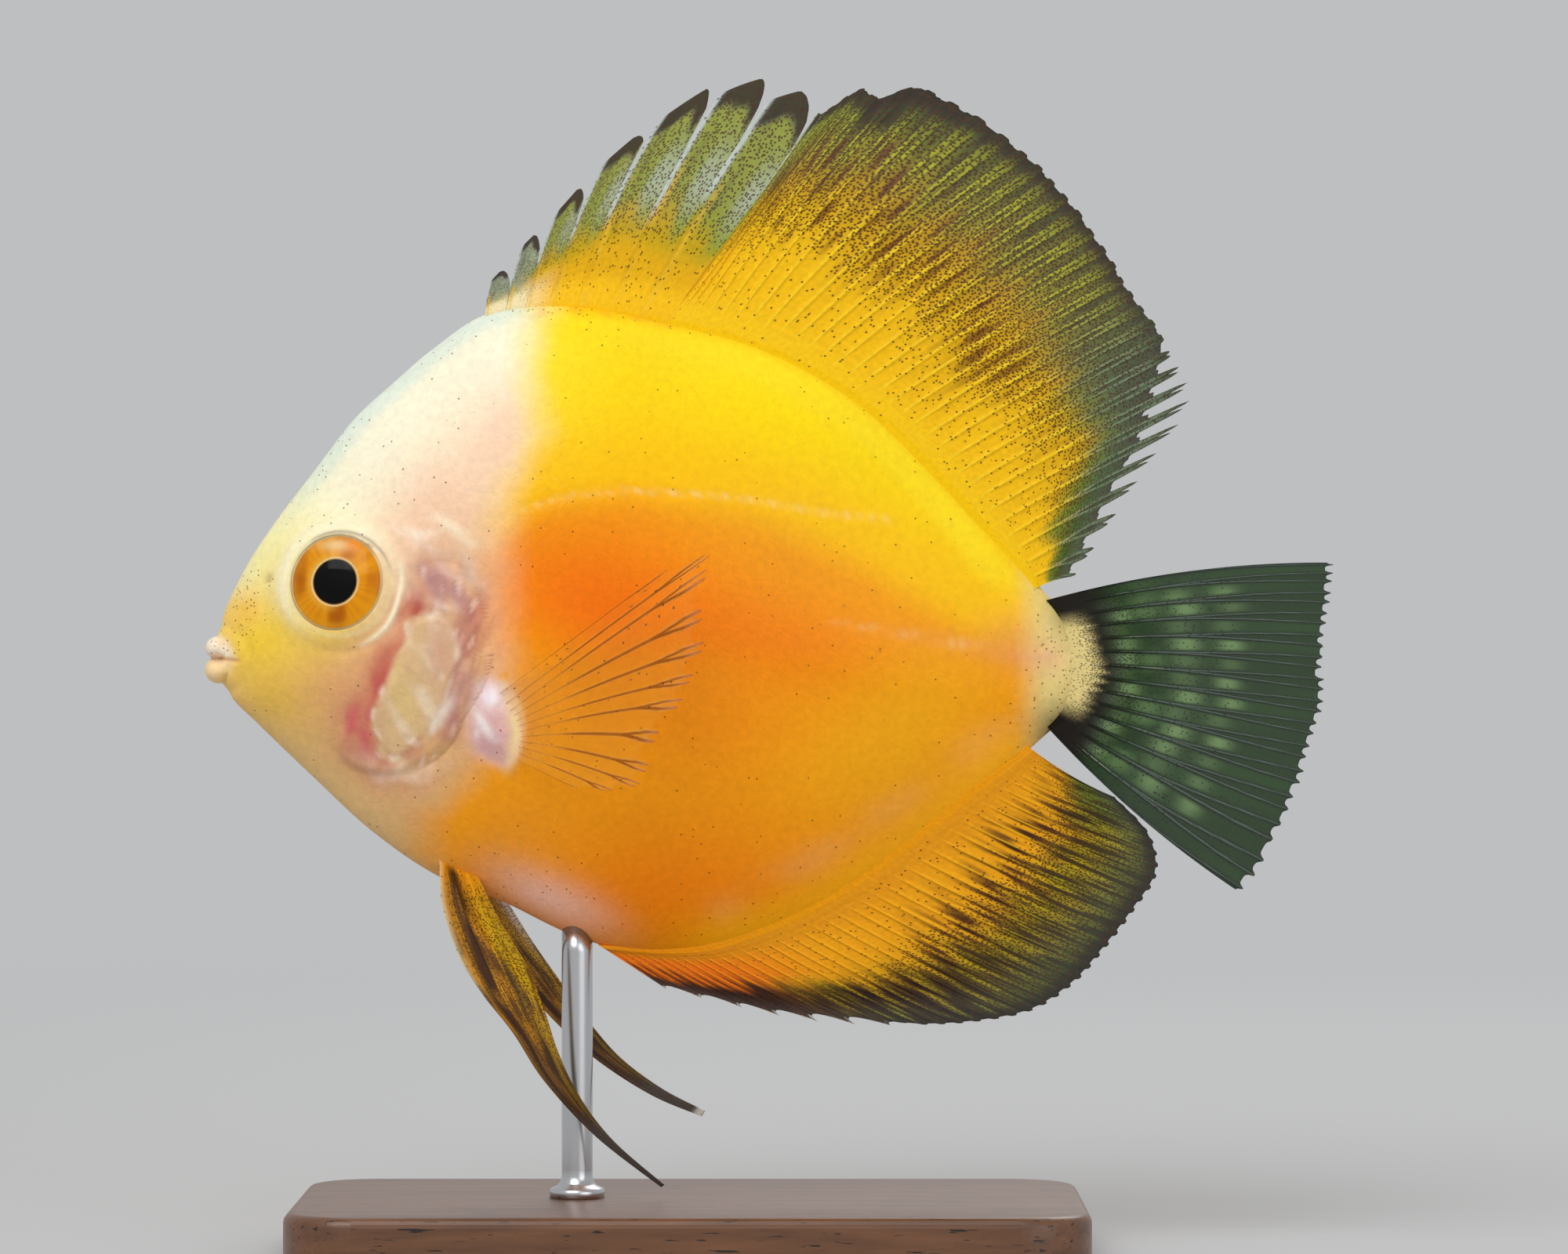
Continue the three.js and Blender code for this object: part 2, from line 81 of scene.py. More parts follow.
def blot(x, h, cx, ch, rx, rh, tilt=0.0):  # a soft oval patch
    c, s = math.cos(tilt), math.sin(tilt)
    u = (x - cx) * c + (h - ch) * s
    v = (h - ch) * c - (x - cx) * s
    return np.exp(-((u / rx) ** 2 + (v / rh) ** 2))


def grain(x, h, size, seed):  # smooth cloudy variation, about -1 to 1
    draw = np.random.default_rng(seed)
    total = np.zeros_like(x)
    for _ in range(7):
        angle = draw.uniform(0, 2 * math.pi)
        wave = draw.uniform(0.7, 1.6) / size
        phase = draw.uniform(0, 2 * math.pi)
        total += np.sin((x * math.cos(angle) + h * math.sin(angle)) * wave + phase)
    return total / 4.2


def openCurve(points, s):  # an even spline through points, read at the places s from 0 to 1
    pts = np.array(points, float)
    last = len(pts) - 1
    place = np.clip(s, 0, 1) * last
    i = np.minimum(place.astype(int), last - 1)
    w = (place - i)[..., None]
    p0, p1, p2 = pts[np.maximum(i - 1, 0)], pts[i], pts[i + 1]
    p3 = pts[np.minimum(i + 2, last)]
    v0, v1 = (p2 - p0) / 2, (p3 - p1) / 2
    return (2 * p1 - 2 * p2 + v0 + v1) * w**3 + (3 * p2 - 3 * p1 - 2 * v0 - v1) * w**2 + v0 * w + p1


def closedCurve(points, count):  # a centripetal spline round a closed outline
    pts = np.array(points, float)
    n = len(pts)
    place = np.linspace(0, n, count, endpoint=False)
    i = place.astype(int)
    w = (place - i)[:, None]
    p0, p1, p2, p3 = (pts[(i + k) % n] for k in (-1, 0, 1, 2))
    d0, d1, d2 = (np.sqrt(np.linalg.norm(b - a, axis=1))[:, None] for a, b in ((p0, p1), (p1, p2), (p2, p3)))
    t1 = ((p1 - p0) / d0 - (p2 - p0) / (d0 + d1) + (p2 - p1) / d1) * d1
    t2 = ((p2 - p1) / d1 - (p3 - p1) / (d1 + d2) + (p3 - p2) / d2) * d1
    return (2 * p1 - 2 * p2 + t1 + t2) * w**3 + (3 * p2 - 3 * p1 - 2 * t1 - t2) * w**2 + t1 * w + p1


def nearLine(line, x, h):  # distance from a run of points, and the place along it from 0 to 1
    best = np.full(x.shape, 1e9)
    along = np.zeros_like(x)
    steps = len(line) - 1
    for i in range(steps):
        (ax, ah), (bx, bh) = line[i], line[i + 1]
        dx, dh = bx - ax, bh - ah
        t = np.clip(((x - ax) * dx + (h - ah) * dh) / max(dx * dx + dh * dh, 1e-9), 0, 1)
        d = np.hypot(x - ax - t * dx, h - ah - t * dh)
        closer = d < best
        best = np.where(closer, d, best)
        along = np.where(closer, (i + t) / steps, along)
    return best, along


def stroke(points, x, h, width, margin, power=1.0):  # a soft line that fades towards its two ends
    line, along = nearLine(points, x, h)
    return hill(line, 0, width) * np.sin(np.clip(along, margin, 1 - margin) * math.pi) ** power


def insideBy(loop, x, h):  # how far inside a closed outline, negative outside
    ring = np.vstack([loop, loop[:1]])
    distance, _ = nearLine(ring, x, h)
    within = np.zeros(x.shape, bool)
    for (ax, ah), (bx, bh) in zip(ring[:-1], ring[1:]):
        if ah == bh:
            continue
        within ^= ((ah > h) != (bh > h)) & (x < (bx - ax) * (h - ah) / (bh - ah) + ax)
    return np.where(within, distance, -distance)


def inMetres(x, y, h):
    return np.column_stack([x, y, h + mouthHeight]) * mm


def meshFrom(bm, name):
    data = bpy.data.meshes.new(name)
    bm.to_mesh(data)
    bm.free()
    piece = bpy.data.objects.new(name, data)
    bpy.context.scene.collection.objects.link(piece)
    return piece


def vertexPlaces(piece):
    co = np.empty(len(piece.data.vertices) * 3)
    piece.data.vertices.foreach_get("co", co)
    return co.reshape(-1, 3)


def moveVertices(piece, co):
    piece.data.vertices.foreach_set("co", np.ascontiguousarray(co, dtype=np.float32).ravel())
    piece.data.update()


def storePaint(piece, name, values):  # colours or notes, kept on the vertices
    filled = np.ones((len(values), 4), dtype=np.float32)
    filled[:, :values.shape[1]] = values
    layer = piece.data.attributes.new(name, "FLOAT_COLOR", "POINT")
    layer.data.foreach_set("color", filled.ravel())


def finishPiece(piece, material, slotName, *nodes):
    piece.data.materials.clear()
    piece.data.materials.append(material)
    piece.data.polygons.foreach_set("use_smooth", [True] * len(piece.data.polygons))
    piece.data.update()
    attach(piece, "root")
    if nodes:
        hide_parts(*nodes)
    print(piece.name, len(piece.data.vertices), "vertices")


# Body: a disc drawn out to the fish's outline, thickest behind the head.
bodyValues = {
    "outline": [
        (-67.3, 0.6), (-66.2, 6.8), (-63.1, 13.4), (-59, 19.7), (-53.4, 27), (-47.8, 34.3), (-42.3, 39.5),
        (-36.7, 44.3), (-28.9, 49.4), (-17, 50.8), (-4, 48.9), (10.6, 45.1), (24.5, 37.5), (37.3, 25.3),
        (45.6, 15.5), (50.2, 10), (54.7, 5), (56.3, -0.6), (55, -6.2), (50.4, -10.4), (44.5, -15.6),
        (35.6, -23), (24.5, -31.4), (13.4, -37.5), (2.2, -41), (-8, -41.2), (-17.2, -38.5), (-26, -34.2),
        (-35.6, -30.4), (-45.1, -24), (-53.4, -16.4), (-61, -9), (-65.6, -4.2),
    ],
    "centre": (-5.6, 4.0),
    "headHalf": 13.4,
    "tailHalf": 7.6,
    "widestX": -30,
    "narrowX": 48,
    "roundness": 2.2,
    "fullness": (0.62, 0.8),  # round the head and belly, and where the long fins stand
    "thinning": (-24, 2, 38, 48),
    "crowding": 0.45,  # draws the mesh together towards the snout
    "columns": 300,
    "rings": 180,
}
eyeValues = {
    "x": -49.0,
    "h": 11.0,
    "centreY": 7.4,
    "turn": 0.26,
    "tilt": 0.14,
    "dome": ((0, 2.75), (0.8, 2.73), (1.6, 2.68), (2.4, 2.6), (2.9, 2.52), (3.05, 2.46), (3.16, 2.44)),
    "back": ((6.2, 1.88), (6.4, 1.76), (6.6, 1.58), (6.8, 1.34), (7.0, 1.02), (7.2, 0.6), (7.3, 0.1),
             (7.2, -0.5), (6.4, -1.4), (4, -2.3), (0, -2.6)),
    "irisReach": (3.3, 6.0),
    "irisOut": (2.52, 1.95),
    "irisSteps": 22,
    "cornea": (6.35, 1.65, 1.72),  # reach, height and seat of the clear dome
    "corneaThick": (0.06, 0.12),
    "size": 1.07,
    "opening": 6.4,  # where the lids meet the globe
    "openingOut": 1.76,
    "lid": 0.1,
    "lidBlend": 4.2,
    "lidSteps": 180,
    "tuck": 3.0,  # how far the skin sinks below the globe
    "tuckBlend": 0.7,
    "fineWithin": 9.2,
}
mouthValues = {
    "front": -67.3,
    "h": 0.58,
    "droop": 0.12,  # how the mouth line sinks towards its corners
    "nostril": (-59.4, 11.8),
    "fineBefore": -61.5,
    "fineHalf": 8,
    "heart": (-63.0, 0.0, 0.5),
    "reach": 7.5,
    "blend": 0.22,
    "lips": (((-67.0, 0.0, 2.08), (1.75, 3.2, 1.6)), ((-66.9, 0.0, -1.12), (1.95, 3.0, 1.88))),
}
rimLoop = closedCurve(bodyValues["outline"], 720) - np.array(bodyValues["centre"])
rimAngles = np.arctan2(rimLoop[:, 1], rimLoop[:, 0])
rimOrder = np.argsort(rimAngles)
rimAngles, rimRadii = rimAngles[rimOrder], np.hypot(rimLoop[:, 0], rimLoop[:, 1])[rimOrder]


def rimRadius(angle):
    return np.interp(angle, rimAngles, rimRadii, period=2 * math.pi)


def halfWidth(x, rho):
    v = bodyValues
    wide = mix(v["tailHalf"], v["headHalf"], ramp(x, v["narrowX"], v["widestX"] - v["narrowX"]))
    a, b, c, d = v["thinning"]
    thinning = ramp(x, a, b - a) * ramp(x, d, c - d)
    return wide * np.maximum(1 - np.minimum(rho, 1) ** v["roundness"], 0) ** mix(*v["fullness"], thinning)


def flankY(x, h):
    across, up = x - bodyValues["centre"][0], h - bodyValues["centre"][1]
    return halfWidth(x, np.hypot(across, up) / rimRadius(np.arctan2(up, across)))


def spread(unit):  # from the unit ball to the flank's x, h and share of the way to the rim
    rho = np.minimum(np.hypot(unit[:, 0], unit[:, 2]), 1)
    even = np.arctan2(unit[:, 2], unit[:, 0])
    angle = even + bodyValues["crowding"] * np.sin(even)
    angle = np.arctan2(np.sin(angle), np.cos(angle))
    reach = rho * rimRadius(angle)
    x, h = bodyValues["centre"]
    return x + reach * np.cos(angle), h + reach * np.sin(angle), rho


skinValues = {
    "speckPatches": (  # strength, middle and radii of the places with more specks
        (0.16, -64.5, 2, 3, 2.4), (0.1, -54, 22, 4, 3), (0.1, -42, 26, 4, 4), (0.12, -25, -30, 9, 5),
    ),
    "gillSpecks": 0.2,
    "speckCell": 0.00056,
    "speckSize": 0.26,
    "gillZone": (-49, -21.5, -17, 16),  # the finer mesh round the gill cover
}
# Lines and plates of the head and flank, as points in x and h.
headLines = {
    "gill": [(-36, 14), (-33.4, 13.9), (-31.2, 12.6), (-28.6, 6.5), (-27.7, 0.5), (-29, -3.4), (-31.6, -7.4),
             (-32.8, -10.6), (-36.2, -14), (-42.6, -16.2), (-48.6, -14.4), (-49.8, -10.4), (-47.2, -6.4),
             (-44, -1.6), (-41.6, 3.4), (-40, 9.6)],
    "cheekRidge": [(-40.6, 14.4), (-40.2, 11.8), (-40.7, 8.8), (-41.9, 5.8), (-43.7, 3.8), (-46, 2.4)],
    "redCrease": [(-38.6, 8.2), (-39.7, 5.2), (-41.2, 1.2), (-43, -2.6), (-45.2, -6), (-47.2, -9.4)],
    "patch": [(-39.5, 5.1), (-36.5, 6.6), (-33.4, 5.7), (-32.6, 2.2), (-32.8, -1.4), (-34.3, -5.2),
              (-35.8, -8.9), (-38.1, -11.8), (-40.9, -13.4), (-44, -11.8), (-44.6, -8.9), (-43.8, -5.4),
              (-42.3, -2.6), (-41, 1.2)],
    "lobe": [(-30.6, -4.4), (-28.2, -1.8), (-25.8, -3), (-23.9, -6.2), (-22.9, -9.8), (-23.4, -13.2),
             (-25, -15), (-28.2, -14), (-31, -11.6), (-31.8, -8)],
    "lobeEdge": [(-26, -2.6), (-24.3, -5.6), (-23.4, -9.2), (-23.6, -12.6), (-24.8, -14.6)],
    "upperLine": [(-31, 17.4), (-26.7, 19.7), (-21.1, 22.3), (-15.6, 23.6), (-10, 24.1), (-3.3, 23.9),
                  (7.8, 23), (18.9, 21.1), (27.8, 20.4)],
    "rearLine": [(20, 5.8), (30, 4.1), (41.2, 2.2), (49, 1.3), (54.6, 0.2)],
    "headEdge": [(-20, 48), (-20.6, 40), (-20.8, 32), (-24.2, 24), (-25.4, 15), (-24.6, 5), (-24.4, -3),
                 (-25.8, -12), (-29.6, -17.4), (-36.4, -22.4), (-37.4, -27), (-34.4, -31)],
    "orangeTop": [(-26.7, 16), (-20, 20.6), (-9, 22.4), (7.8, 19.5), (24.5, 12.6), (41, 3.4), (54, -2)],
}
# Brush strokes over the gill cover: points, width, strength, colour, and how far they stand up from the skin.
headStrokes = [
    ([(-38.3, 9.4), (-39.6, 6.4), (-40.8, 3.2), (-42.2, -0.6), (-43.8, -4.4)], 1.5, 0.85, "d4735c", -0.12),
    ([(-41.8, 0.6), (-43.2, -3.2), (-45.2, -6.2), (-46.6, -9.2)], 1.3, 0.9, "c2404a", -0.15),
    ([(-45.4, -5.6), (-46.6, -8.6), (-46.2, -11.6), (-44.6, -13.2)], 1.9, 0.8, "cf5a64", 0.0),
    ([(-38.0, 8.6), (-38.8, 6.8), (-39.4, 5.2)], 0.8, 0.9, "b8382c", -0.1),
    ([(-37.6, 11.6), (-34.6, 11.6), (-32.0, 8.8)], 2.6, 0.4, "b98a90", 0.0),
    ([(-36.2, 8.4), (-34.6, 7.6), (-33.2, 7.8), (-32.4, 9.4)], 0.5, 0.75, "f4e0cc", 0.08),
    ([(-31.2, 10.4), (-30.6, 6), (-31.2, 2.2), (-30.4, -1)], 1.5, 0.7, "c67c80", -0.06),
    ([(-33.6, 4.4), (-32.4, 1.4), (-32.8, -1.4)], 1.1, 0.6, "bf7a86", -0.06),
    ([(-30.8, -1.0), (-32.4, -4.2), (-33.2, -7.2), (-33.8, -9.8)], 1.4, 0.65, "b87488", -0.08),
    ([(-28.2, 8), (-26.6, 4), (-26.0, 0.4), (-27.2, -1.8)], 1.6, 0.75, "ecc8ba", 0.05),
    ([(-31.6, 17), (-30.2, 14.4), (-30.0, 12), (-27.6, 10.2)], 0.8, 0.7, "f6dcbc", 0.08),
    ([(-41.6, 18.6), (-39.6, 18.2), (-38.0, 17.0), (-36.0, 17.2), (-34.2, 18)], 0.5, 0.8, "fff0da", 0.1),
    ([(-36.6, 19.4), (-34.4, 19.8), (-32.6, 18.6), (-30.2, 17.4), (-28.4, 17.8)], 0.6, 0.8, "ffeed0", 0.1),
    ([(-38.4, 15.8), (-36.6, 16.4), (-34.6, 15.4), (-32.8, 14.8)], 0.5, 0.6, "fbe2cc", 0.07),
    ([(-34.0, 14.6), (-32.6, 12.6), (-31.4, 12.4)], 0.5, 0.5, "fbd9c8", 0.06),
    ([(-46.8, -13.6), (-43.4, -15.8), (-38.8, -16.4), (-34.6, -14.6)], 1.3, 0.7, "f3cdb8", 0.1),
    ([(-47.8, -14.8), (-43.6, -17.6), (-38.4, -18.2), (-33.4, -16)], 0.8, 0.5, "dc9a6c", -0.06),
    ([(-42.4, -14.2), (-40.6, -15.2), (-38.6, -14.8)], 1.2, 0.6, "f2dcb4", 0.05),
    ([(-31.8, -12.4), (-29.6, -13.8), (-27.4, -14)], 1.2, 0.5, "e6b8ac", 0.0),
]
# Strokes over the pink lobe before the pectoral fin, flat on the skin: points, width, strength, colour.
lobeStrokes = [
    ([(-29.4, -3.6), (-28.0, -4.6), (-26.8, -5.4)], 1.5, 0.9, "fdf4fb"),
    ([(-30.4, -6.2), (-28.8, -8.4), (-27.0, -10.6)], 0.8, 0.85, "fbf2ee"),
    ([(-29.8, -8.8), (-30.0, -10.2)], 0.6, 0.6, "f6ece6"),
    ([(-26.4, -3.4), (-24.7, -6.2), (-23.9, -9.6), (-24.2, -12.8), (-25.0, -14.8)], 1.1, 0.95, "fbdca0"),
    ([(-27.4, -2.2), (-26.4, -1.8), (-25.8, -2.6)], 0.5, 0.7, "e59a2c"),
]


def drawnLine(name, count=40):
    return openCurve(headLines[name], np.linspace(0, 1, count))


gillLoop = closedCurve(headLines["gill"], 70)
lobeLoop = closedCurve(headLines["lobe"], 40)
patchLoop = closedCurve(headLines["patch"], 60)


def eyeDistance(x, h):
    return np.hypot(x - eyeValues["x"], h - eyeValues["h"])


def warped(x, h, amount, size, seed):  # places shifted a little, so that what is drawn there has uneven edges
    return x + amount * grain(x, h, size, seed), h + amount * grain(x, h, size, seed + 1)


def nostrilDistance(x, h):
    return np.hypot(x - mouthValues["nostril"][0], h - mouthValues["nostril"][1])


def mouthBack(x):  # how far behind the front of the lips
    return np.maximum(x - mouthValues["front"], 0)


def mouthLine(x, h, width):
    return hill(h, mouthValues["h"] - mouthValues["droop"] * mouthBack(x), width)


def skinRelief(x, h):  # how far the skin stands proud of the plain disc
    lift = np.zeros_like(x)
    back = mouthBack(x)
    lift -= 0.3 * mouthLine(x, h, 0.32) * ramp(back, 4.4, -1.6)
    lift -= 0.22 * hill(np.hypot(back, (h - 0.4) * 1.05), 5.2, 0.8) * ramp(back, 9, -3)
    nostril = nostrilDistance(x, h)
    lift += 0.12 * hill(nostril, 0.95, 0.35) - 0.6 * hill(nostril, 0, 0.5)
    r = eyeDistance(x, h)
    lift += 0.14 * hill(r, 10.6, 1.1) - 0.1 * hill(r, 9.5, 0.5)
    wx, wh = warped(x, h, 0.35, 2.2, 81)
    gill = insideBy(gillLoop, wx, wh)
    lift += np.where(gill > 0, 0.5 * smooth(gill / 1.6) - 0.25 * ramp(gill, 2, 7), 0)
    lift -= np.where(gill <= 0, 0.34 * np.exp(gill / 0.9), 0) * ramp(x, -40, 5)
    lift += 0.36 * stroke(drawnLine("cheekRidge"), x, h, 0.5, 0.04, 0.6)
    lift -= 0.45 * stroke(drawnLine("redCrease"), wx, wh, 0.9, 0.05)
    patch = insideBy(patchLoop, wx, wh)
    lift += 0.22 * smooth(patch / 0.9) + 0.07 * grain(x, h, 0.8, 5) * smooth(patch / 1.5)
    lobe = insideBy(lobeLoop, wx, wh)
    lift += 1.1 * smooth(lobe / 4.2) + 0.25 * hill(nearLine(drawnLine("lobeEdge"), x, h)[0], 0, 0.9)
    for points, width, _, _, height in headStrokes:
        if height:
            lift += height * stroke(points, wx, wh, width, 0.04, 0.6)
    for name, strength in (("upperLine", 0.14), ("rearLine", 0.14)):
        line, along = nearLine(drawnLine(name), x, h)
        lift -= strength * hill(line, 0, 0.42) * smooth(along * 8) * smooth((1 - along) * 8)
    lift += 0.05 * grain(x, h, 6.0, 11) + 0.02 * grain(x, h, 1.8, 12)
    return lift


def roundLips(co):  # draws the skin of the mouth out to two round lips
    v = mouthValues
    heart = np.array(v["heart"])
    away = co - heart
    reach = np.linalg.norm(away, axis=1)
    aim = away / reach[:, None]
    out = reach.copy()
    for middle, radii in v["lips"]:
        a, b = aim / radii, (heart - middle) / radii
        qa, qb, qc = (a * a).sum(axis=1), (a * b).sum(axis=1), (b * b).sum() - 1
        root = qb * qb - qa * qc
        far = np.where(root > 0, (np.sqrt(np.maximum(root, 0)) - qb) / qa, 0)
        share = np.clip(0.5 + 0.5 * (far - out) / v["blend"], 0, 1)
        out = mix(out, far, share) + v["blend"] * share * (1 - share)
    return np.where((reach < v["reach"])[:, None], heart + aim * out[:, None], co)


def turnedBy(angle, a, b):
    return a * math.cos(angle) - b * math.sin(angle), a * math.sin(angle) + b * math.cos(angle)


def toEye(co, side):  # from the eye's own frame, out along +Y, to its place on the head
    v = eyeValues
    x, out, z = co.T * v["size"]
    out, z = turnedBy(v["tilt"], out, z)
    x, out = turnedBy(v["turn"], x, out)
    return inMetres(v["x"] + x, side * (v["centreY"] + out), v["h"] + z)


def fitLids(co):  # draws the skin round each eye up to the globe, and sinks it below the globe
    v = eyeValues
    a = np.linspace(0, 2 * math.pi, v["lidSteps"], endpoint=False)
    across, up = v["opening"] * np.cos(a), v["opening"] * np.sin(a)
    ring = toEye(np.column_stack([across, 0 * a + v["openingOut"], up]), 1) / mm - (0, 0, mouthHeight)
    middle = ring.mean(axis=0)

    def polar(places):
        across, up = places[:, 0] - middle[0], places[:, 2] - middle[2]
        return np.arctan2(up, across), np.hypot(up, across)

    ringAngle, ringReach = polar(ring)
    order = np.argsort(ringAngle)
    angle, reach = polar(co)
    beyond = reach - np.interp(angle, ringAngle[order], ringReach[order], period=2 * math.pi)
    lid = np.interp(angle, ringAngle[order], ring[order, 1], period=2 * math.pi) + v["lid"]
    fitted = mix(lid, np.abs(co[:, 1]), smooth(beyond / v["lidBlend"]))
    fitted = np.where(beyond < 0, lid - v["tuck"] * smooth(-beyond / v["tuckBlend"]), fitted)
    out = co.copy()
    out[:, 1] = np.where(beyond < v["lidBlend"], np.sign(co[:, 1]) * fitted, co[:, 1])
    return out


def skinPaint(x, h, rho):
    wx, wh = warped(x, h, 1.1, 5.0, 83)
    crest = np.interp(wx, *np.array(headLines["orangeTop"]).T)
    above = wh - crest
    paint = lay(
        "f7a008",
        (ramp(above, -3.2, 8), "ffc400"),
        (ramp(above, 4, 15), "ffd800"),
        (0.5 * ramp(above, 16, 9), "ffe320"),
        (0.95 * blot(wx, wh, -13, 9, 17, 9, -0.2) * ramp(above, 4, -6), "fa7202"),
        (0.75 * blot(wx, wh, 8, 5, 24, 7, -0.32) * ramp(above, 5, -7), "fa7e04"),
        (0.55 * blot(wx, wh, 2, -8, 17, 9, 0), "f78a08"),
        (0.85 * blot(wx, wh, -4, -32, 24, 10, 0.1), "fb8404"),
        (0.55 * blot(wx, wh, -24, -24, 7, 6, 0), "f29a24"),
        (0.75 * blot(wx, wh, 30, -9, 17, 9, 0.6), "f7b010"),
    )
    seam, _ = nearLine([(6, -35), (20, -27), (33, -17.5), (45, -10)], wx, wh)
    paint = lay(
        paint,
        (0.26 * hill(seam, 0, 2.6) * smooth(0.6 + 0.6 * grain(x, h, 2.4, 84)), "f0b070"),
        # the lower rear rim by the anal fin painted lighter and yellower: partly the fin's colour carried
        # onto the body, partly painted light against the shade on the belly's downward-facing rim
        (0.75 * ramp(rho, 0.84, 0.14) * ramp(x, -6, 12) * ramp(h, -4, -8), "ffb414"),
    )
    rearSeam, along = nearLine([(22, 5.2), (34, 3.4), (45, 1.6), (53, 0.6)], wx, wh)
    paint = lay(
        paint,
        (0.5 * hill(rearSeam, 0, 1.3) * along, "ef9466"),
        (0.6 * ramp(rho, 0.86, 0.05) * ramp(x, -18, 12) * ramp(h, 8, 6), "ffdf20"),
        (0.85 * ramp(rho, 0.945, 0.05) * ramp(x, -22, 8) * ramp(h, 6, 8), "fdc504"),
    )
    base, _ = nearLine([(-25, 49.4), (-17, 50), (-9, 49), (0, 47)], wx, wh)
    paint = lay(
        paint,
        (0.4 * hill(base, 0, 0.8) * smooth(0.2 + grain(x, h, 1.0, 85)), "f58a2c"),
        (0.6 * blot(wx, wh, 47, 3.5, 5, 4.5), "ea9850"),
        (ramp(wx, 45.5, 6), "ecd488"),
        (0.45 * blot(wx, wh, 50.5, 1, 3, 2.4), "f0a088"),
        (0.5 * ramp(x, 52.6, 2.8), "c4b878"),
        (0.95 * blot(x, h, 55.2, 7.4, 3.4, 3.2) + 0.95 * blot(x, h, 53.4, -9.6, 4.2, 3.4), "2c1a10"),
        (0.85 * blot(wx, wh, -20, -33.4, 8.5, 3.4, -0.45), "f6c3ae"),
    )
    # The head, with its pale brow, yellow snout and pink gill region.
    edgeX = np.interp(-h, *[np.array(headLines["headEdge"])[:, k] * (1, -1)[k] for k in (1, 0)])
    head = smooth((edgeX - x + 3.6 + 1.2 * grain(x, h, 3.2, 31) + 0.5 * grain(x, h, 1.1, 32)) / 10.5)
    skin = lay(
        "f6d0a2",
        (ramp(h, 8, 20), "fde4bc"),
        (0.8 * blot(wx, wh, -36, 22, 11, 9), "f9cdae"),
        (0.5 * blot(wx, wh, -29, 33, 7, 9), "fbd0b4"),
        (0.9 * ramp(rho, 0.66, 0.27) * ramp(h, 12, 10), "fdf6da"),
        (0.75 * ramp(rho, 0.93, 0.05) * ramp(h, 6, 8), "dcebdc"),
        (0.85 * blot(wx, wh, -57, 14.5, 9, 12, 0.9), "fdf0a0"),
        (0.95 * blot(wx, wh, -60.0, 3.4, 9.5, 7.6), "f6d030"),
        (0.6 * blot(wx, wh, -62.4, 8.2, 2.6, 2.4), "f7bc42"),
        (0.75 * blot(wx, wh, -52, 1.5, 6, 5.5), "f4cc50"),
        (0.75 * blot(wx, wh, -49, -5, 8, 6), "e09c6c"),
        (0.45 * blot(wx, wh, -44.5, -1, 3, 5), "d4845e"),
        (0.85 * ramp(h, -1, -11), "dfac70"),
        (0.6 * ramp(rho, 0.86, 0.12) * ramp(h, -2, -8), "ecc888"),
        (0.75 * blot(wx, wh, -59.5, -4.5, 8, 6, -0.6), "ecbe3c"),
        (0.55 * blot(wx, wh, -31, 13, 6, 8), "e2ab78"),
        (0.4 * smooth(grain(wx, wh, 5.5, 99) * 1.2) * ramp(rho, 0.85, -0.2) * ramp(h, 2, 8), "f2b498"),
    )
    # The gill cover: mottled pinks round the pale window, red in the crease before it.
    ux, uh = warped(*warped(x, h, 1.2, 4.2, 90), 0.5, 1.3, 92)
    gill = insideBy(gillLoop, ux, uh)
    fibre = grain(ux * 2.4 - uh * 0.9, uh * 0.7 + ux * 0.25, 1.0, 94)
    fine = grain(x, h, 0.7, 96)
    skin = lay(
        skin,
        (0.85 * ramp(gill, -2.4, 4.5) * smooth(0.6 + 0.5 * grain(ux, uh, 1.6, 86)), "d0926e"),
        (0.45 * ramp(gill, -0.5, 3) * smooth(0.9 * grain(ux, uh, 2.2, 87)), "c98278"),
    )
    uneven = np.clip(0.82 + 0.34 * fibre + 0.16 * fine, 0.1, 1.15)
    for points, width, strength, code, _ in headStrokes:
        mask = np.minimum(strength * uneven, 1) * stroke(points, ux, uh, width * 1.15, 0.03, 0.5)
        skin = lay(skin, (mask, code))
    skin = lay(
        skin,
        (0.75 * blot(ux, uh, -30.8, 3.0, 3.2, 8.5, -0.1) * smooth(0.75 + fibre), "b06f60"),
        (0.6 * blot(ux, uh, -34.4, 10.8, 5.2, 3.8) * smooth(0.8 + fine), "b9868a"),
        (0.5 * ramp(gill, -1, 2) * smooth(fibre * 1.6 - 0.6) * ramp(ux, -41, 3), "f3d8c4"),
    )
    patch = insideBy(patchLoop, *warped(*warped(x, h, 0.8, 1.5, 88), 0.35, 0.5, 98))
    skin = lay(
        skin,
        (0.82 * ramp(patch, -0.8, 2.1), "e0bf8e"),
        (0.6 * smooth(patch / 1.2) * blot(x, h, -40.5, -3.5, 2.0, 7, 0.3), "e6c980"),
        (0.7 * smooth(patch / 1.0) * smooth(0.1 + grain(x, h, 1.1, 7)), "f2dcbc"),
        (0.45 * smooth(patch / 1.0) * smooth(fine * 1.4 - 0.5), "cfa57c"),
        (0.6 * ramp(patch, -0.6, 1.2) * blot(x, h, -34.8, 1.8, 1.8, 5), "d39a88"),
        # a pale band just inside the patch's rim: a painted highlight along the raised plate's edge
        (0.6 * hill(patch, 0.3, 0.6) * smooth(0.1 + fine * 1.4), "f8e6cc"),
    )
    mouth = np.hypot(np.maximum(x + 68.2, 0) * 0.9, h - 0.7)
    r = eyeDistance(x, h)
    arc = np.arctan2(h - eyeValues["h"], x - eyeValues["x"])
    bright = [(-37.4, -10.6), (-35.2, -8), (-33.4, -5.8), (-32.2, -4)]
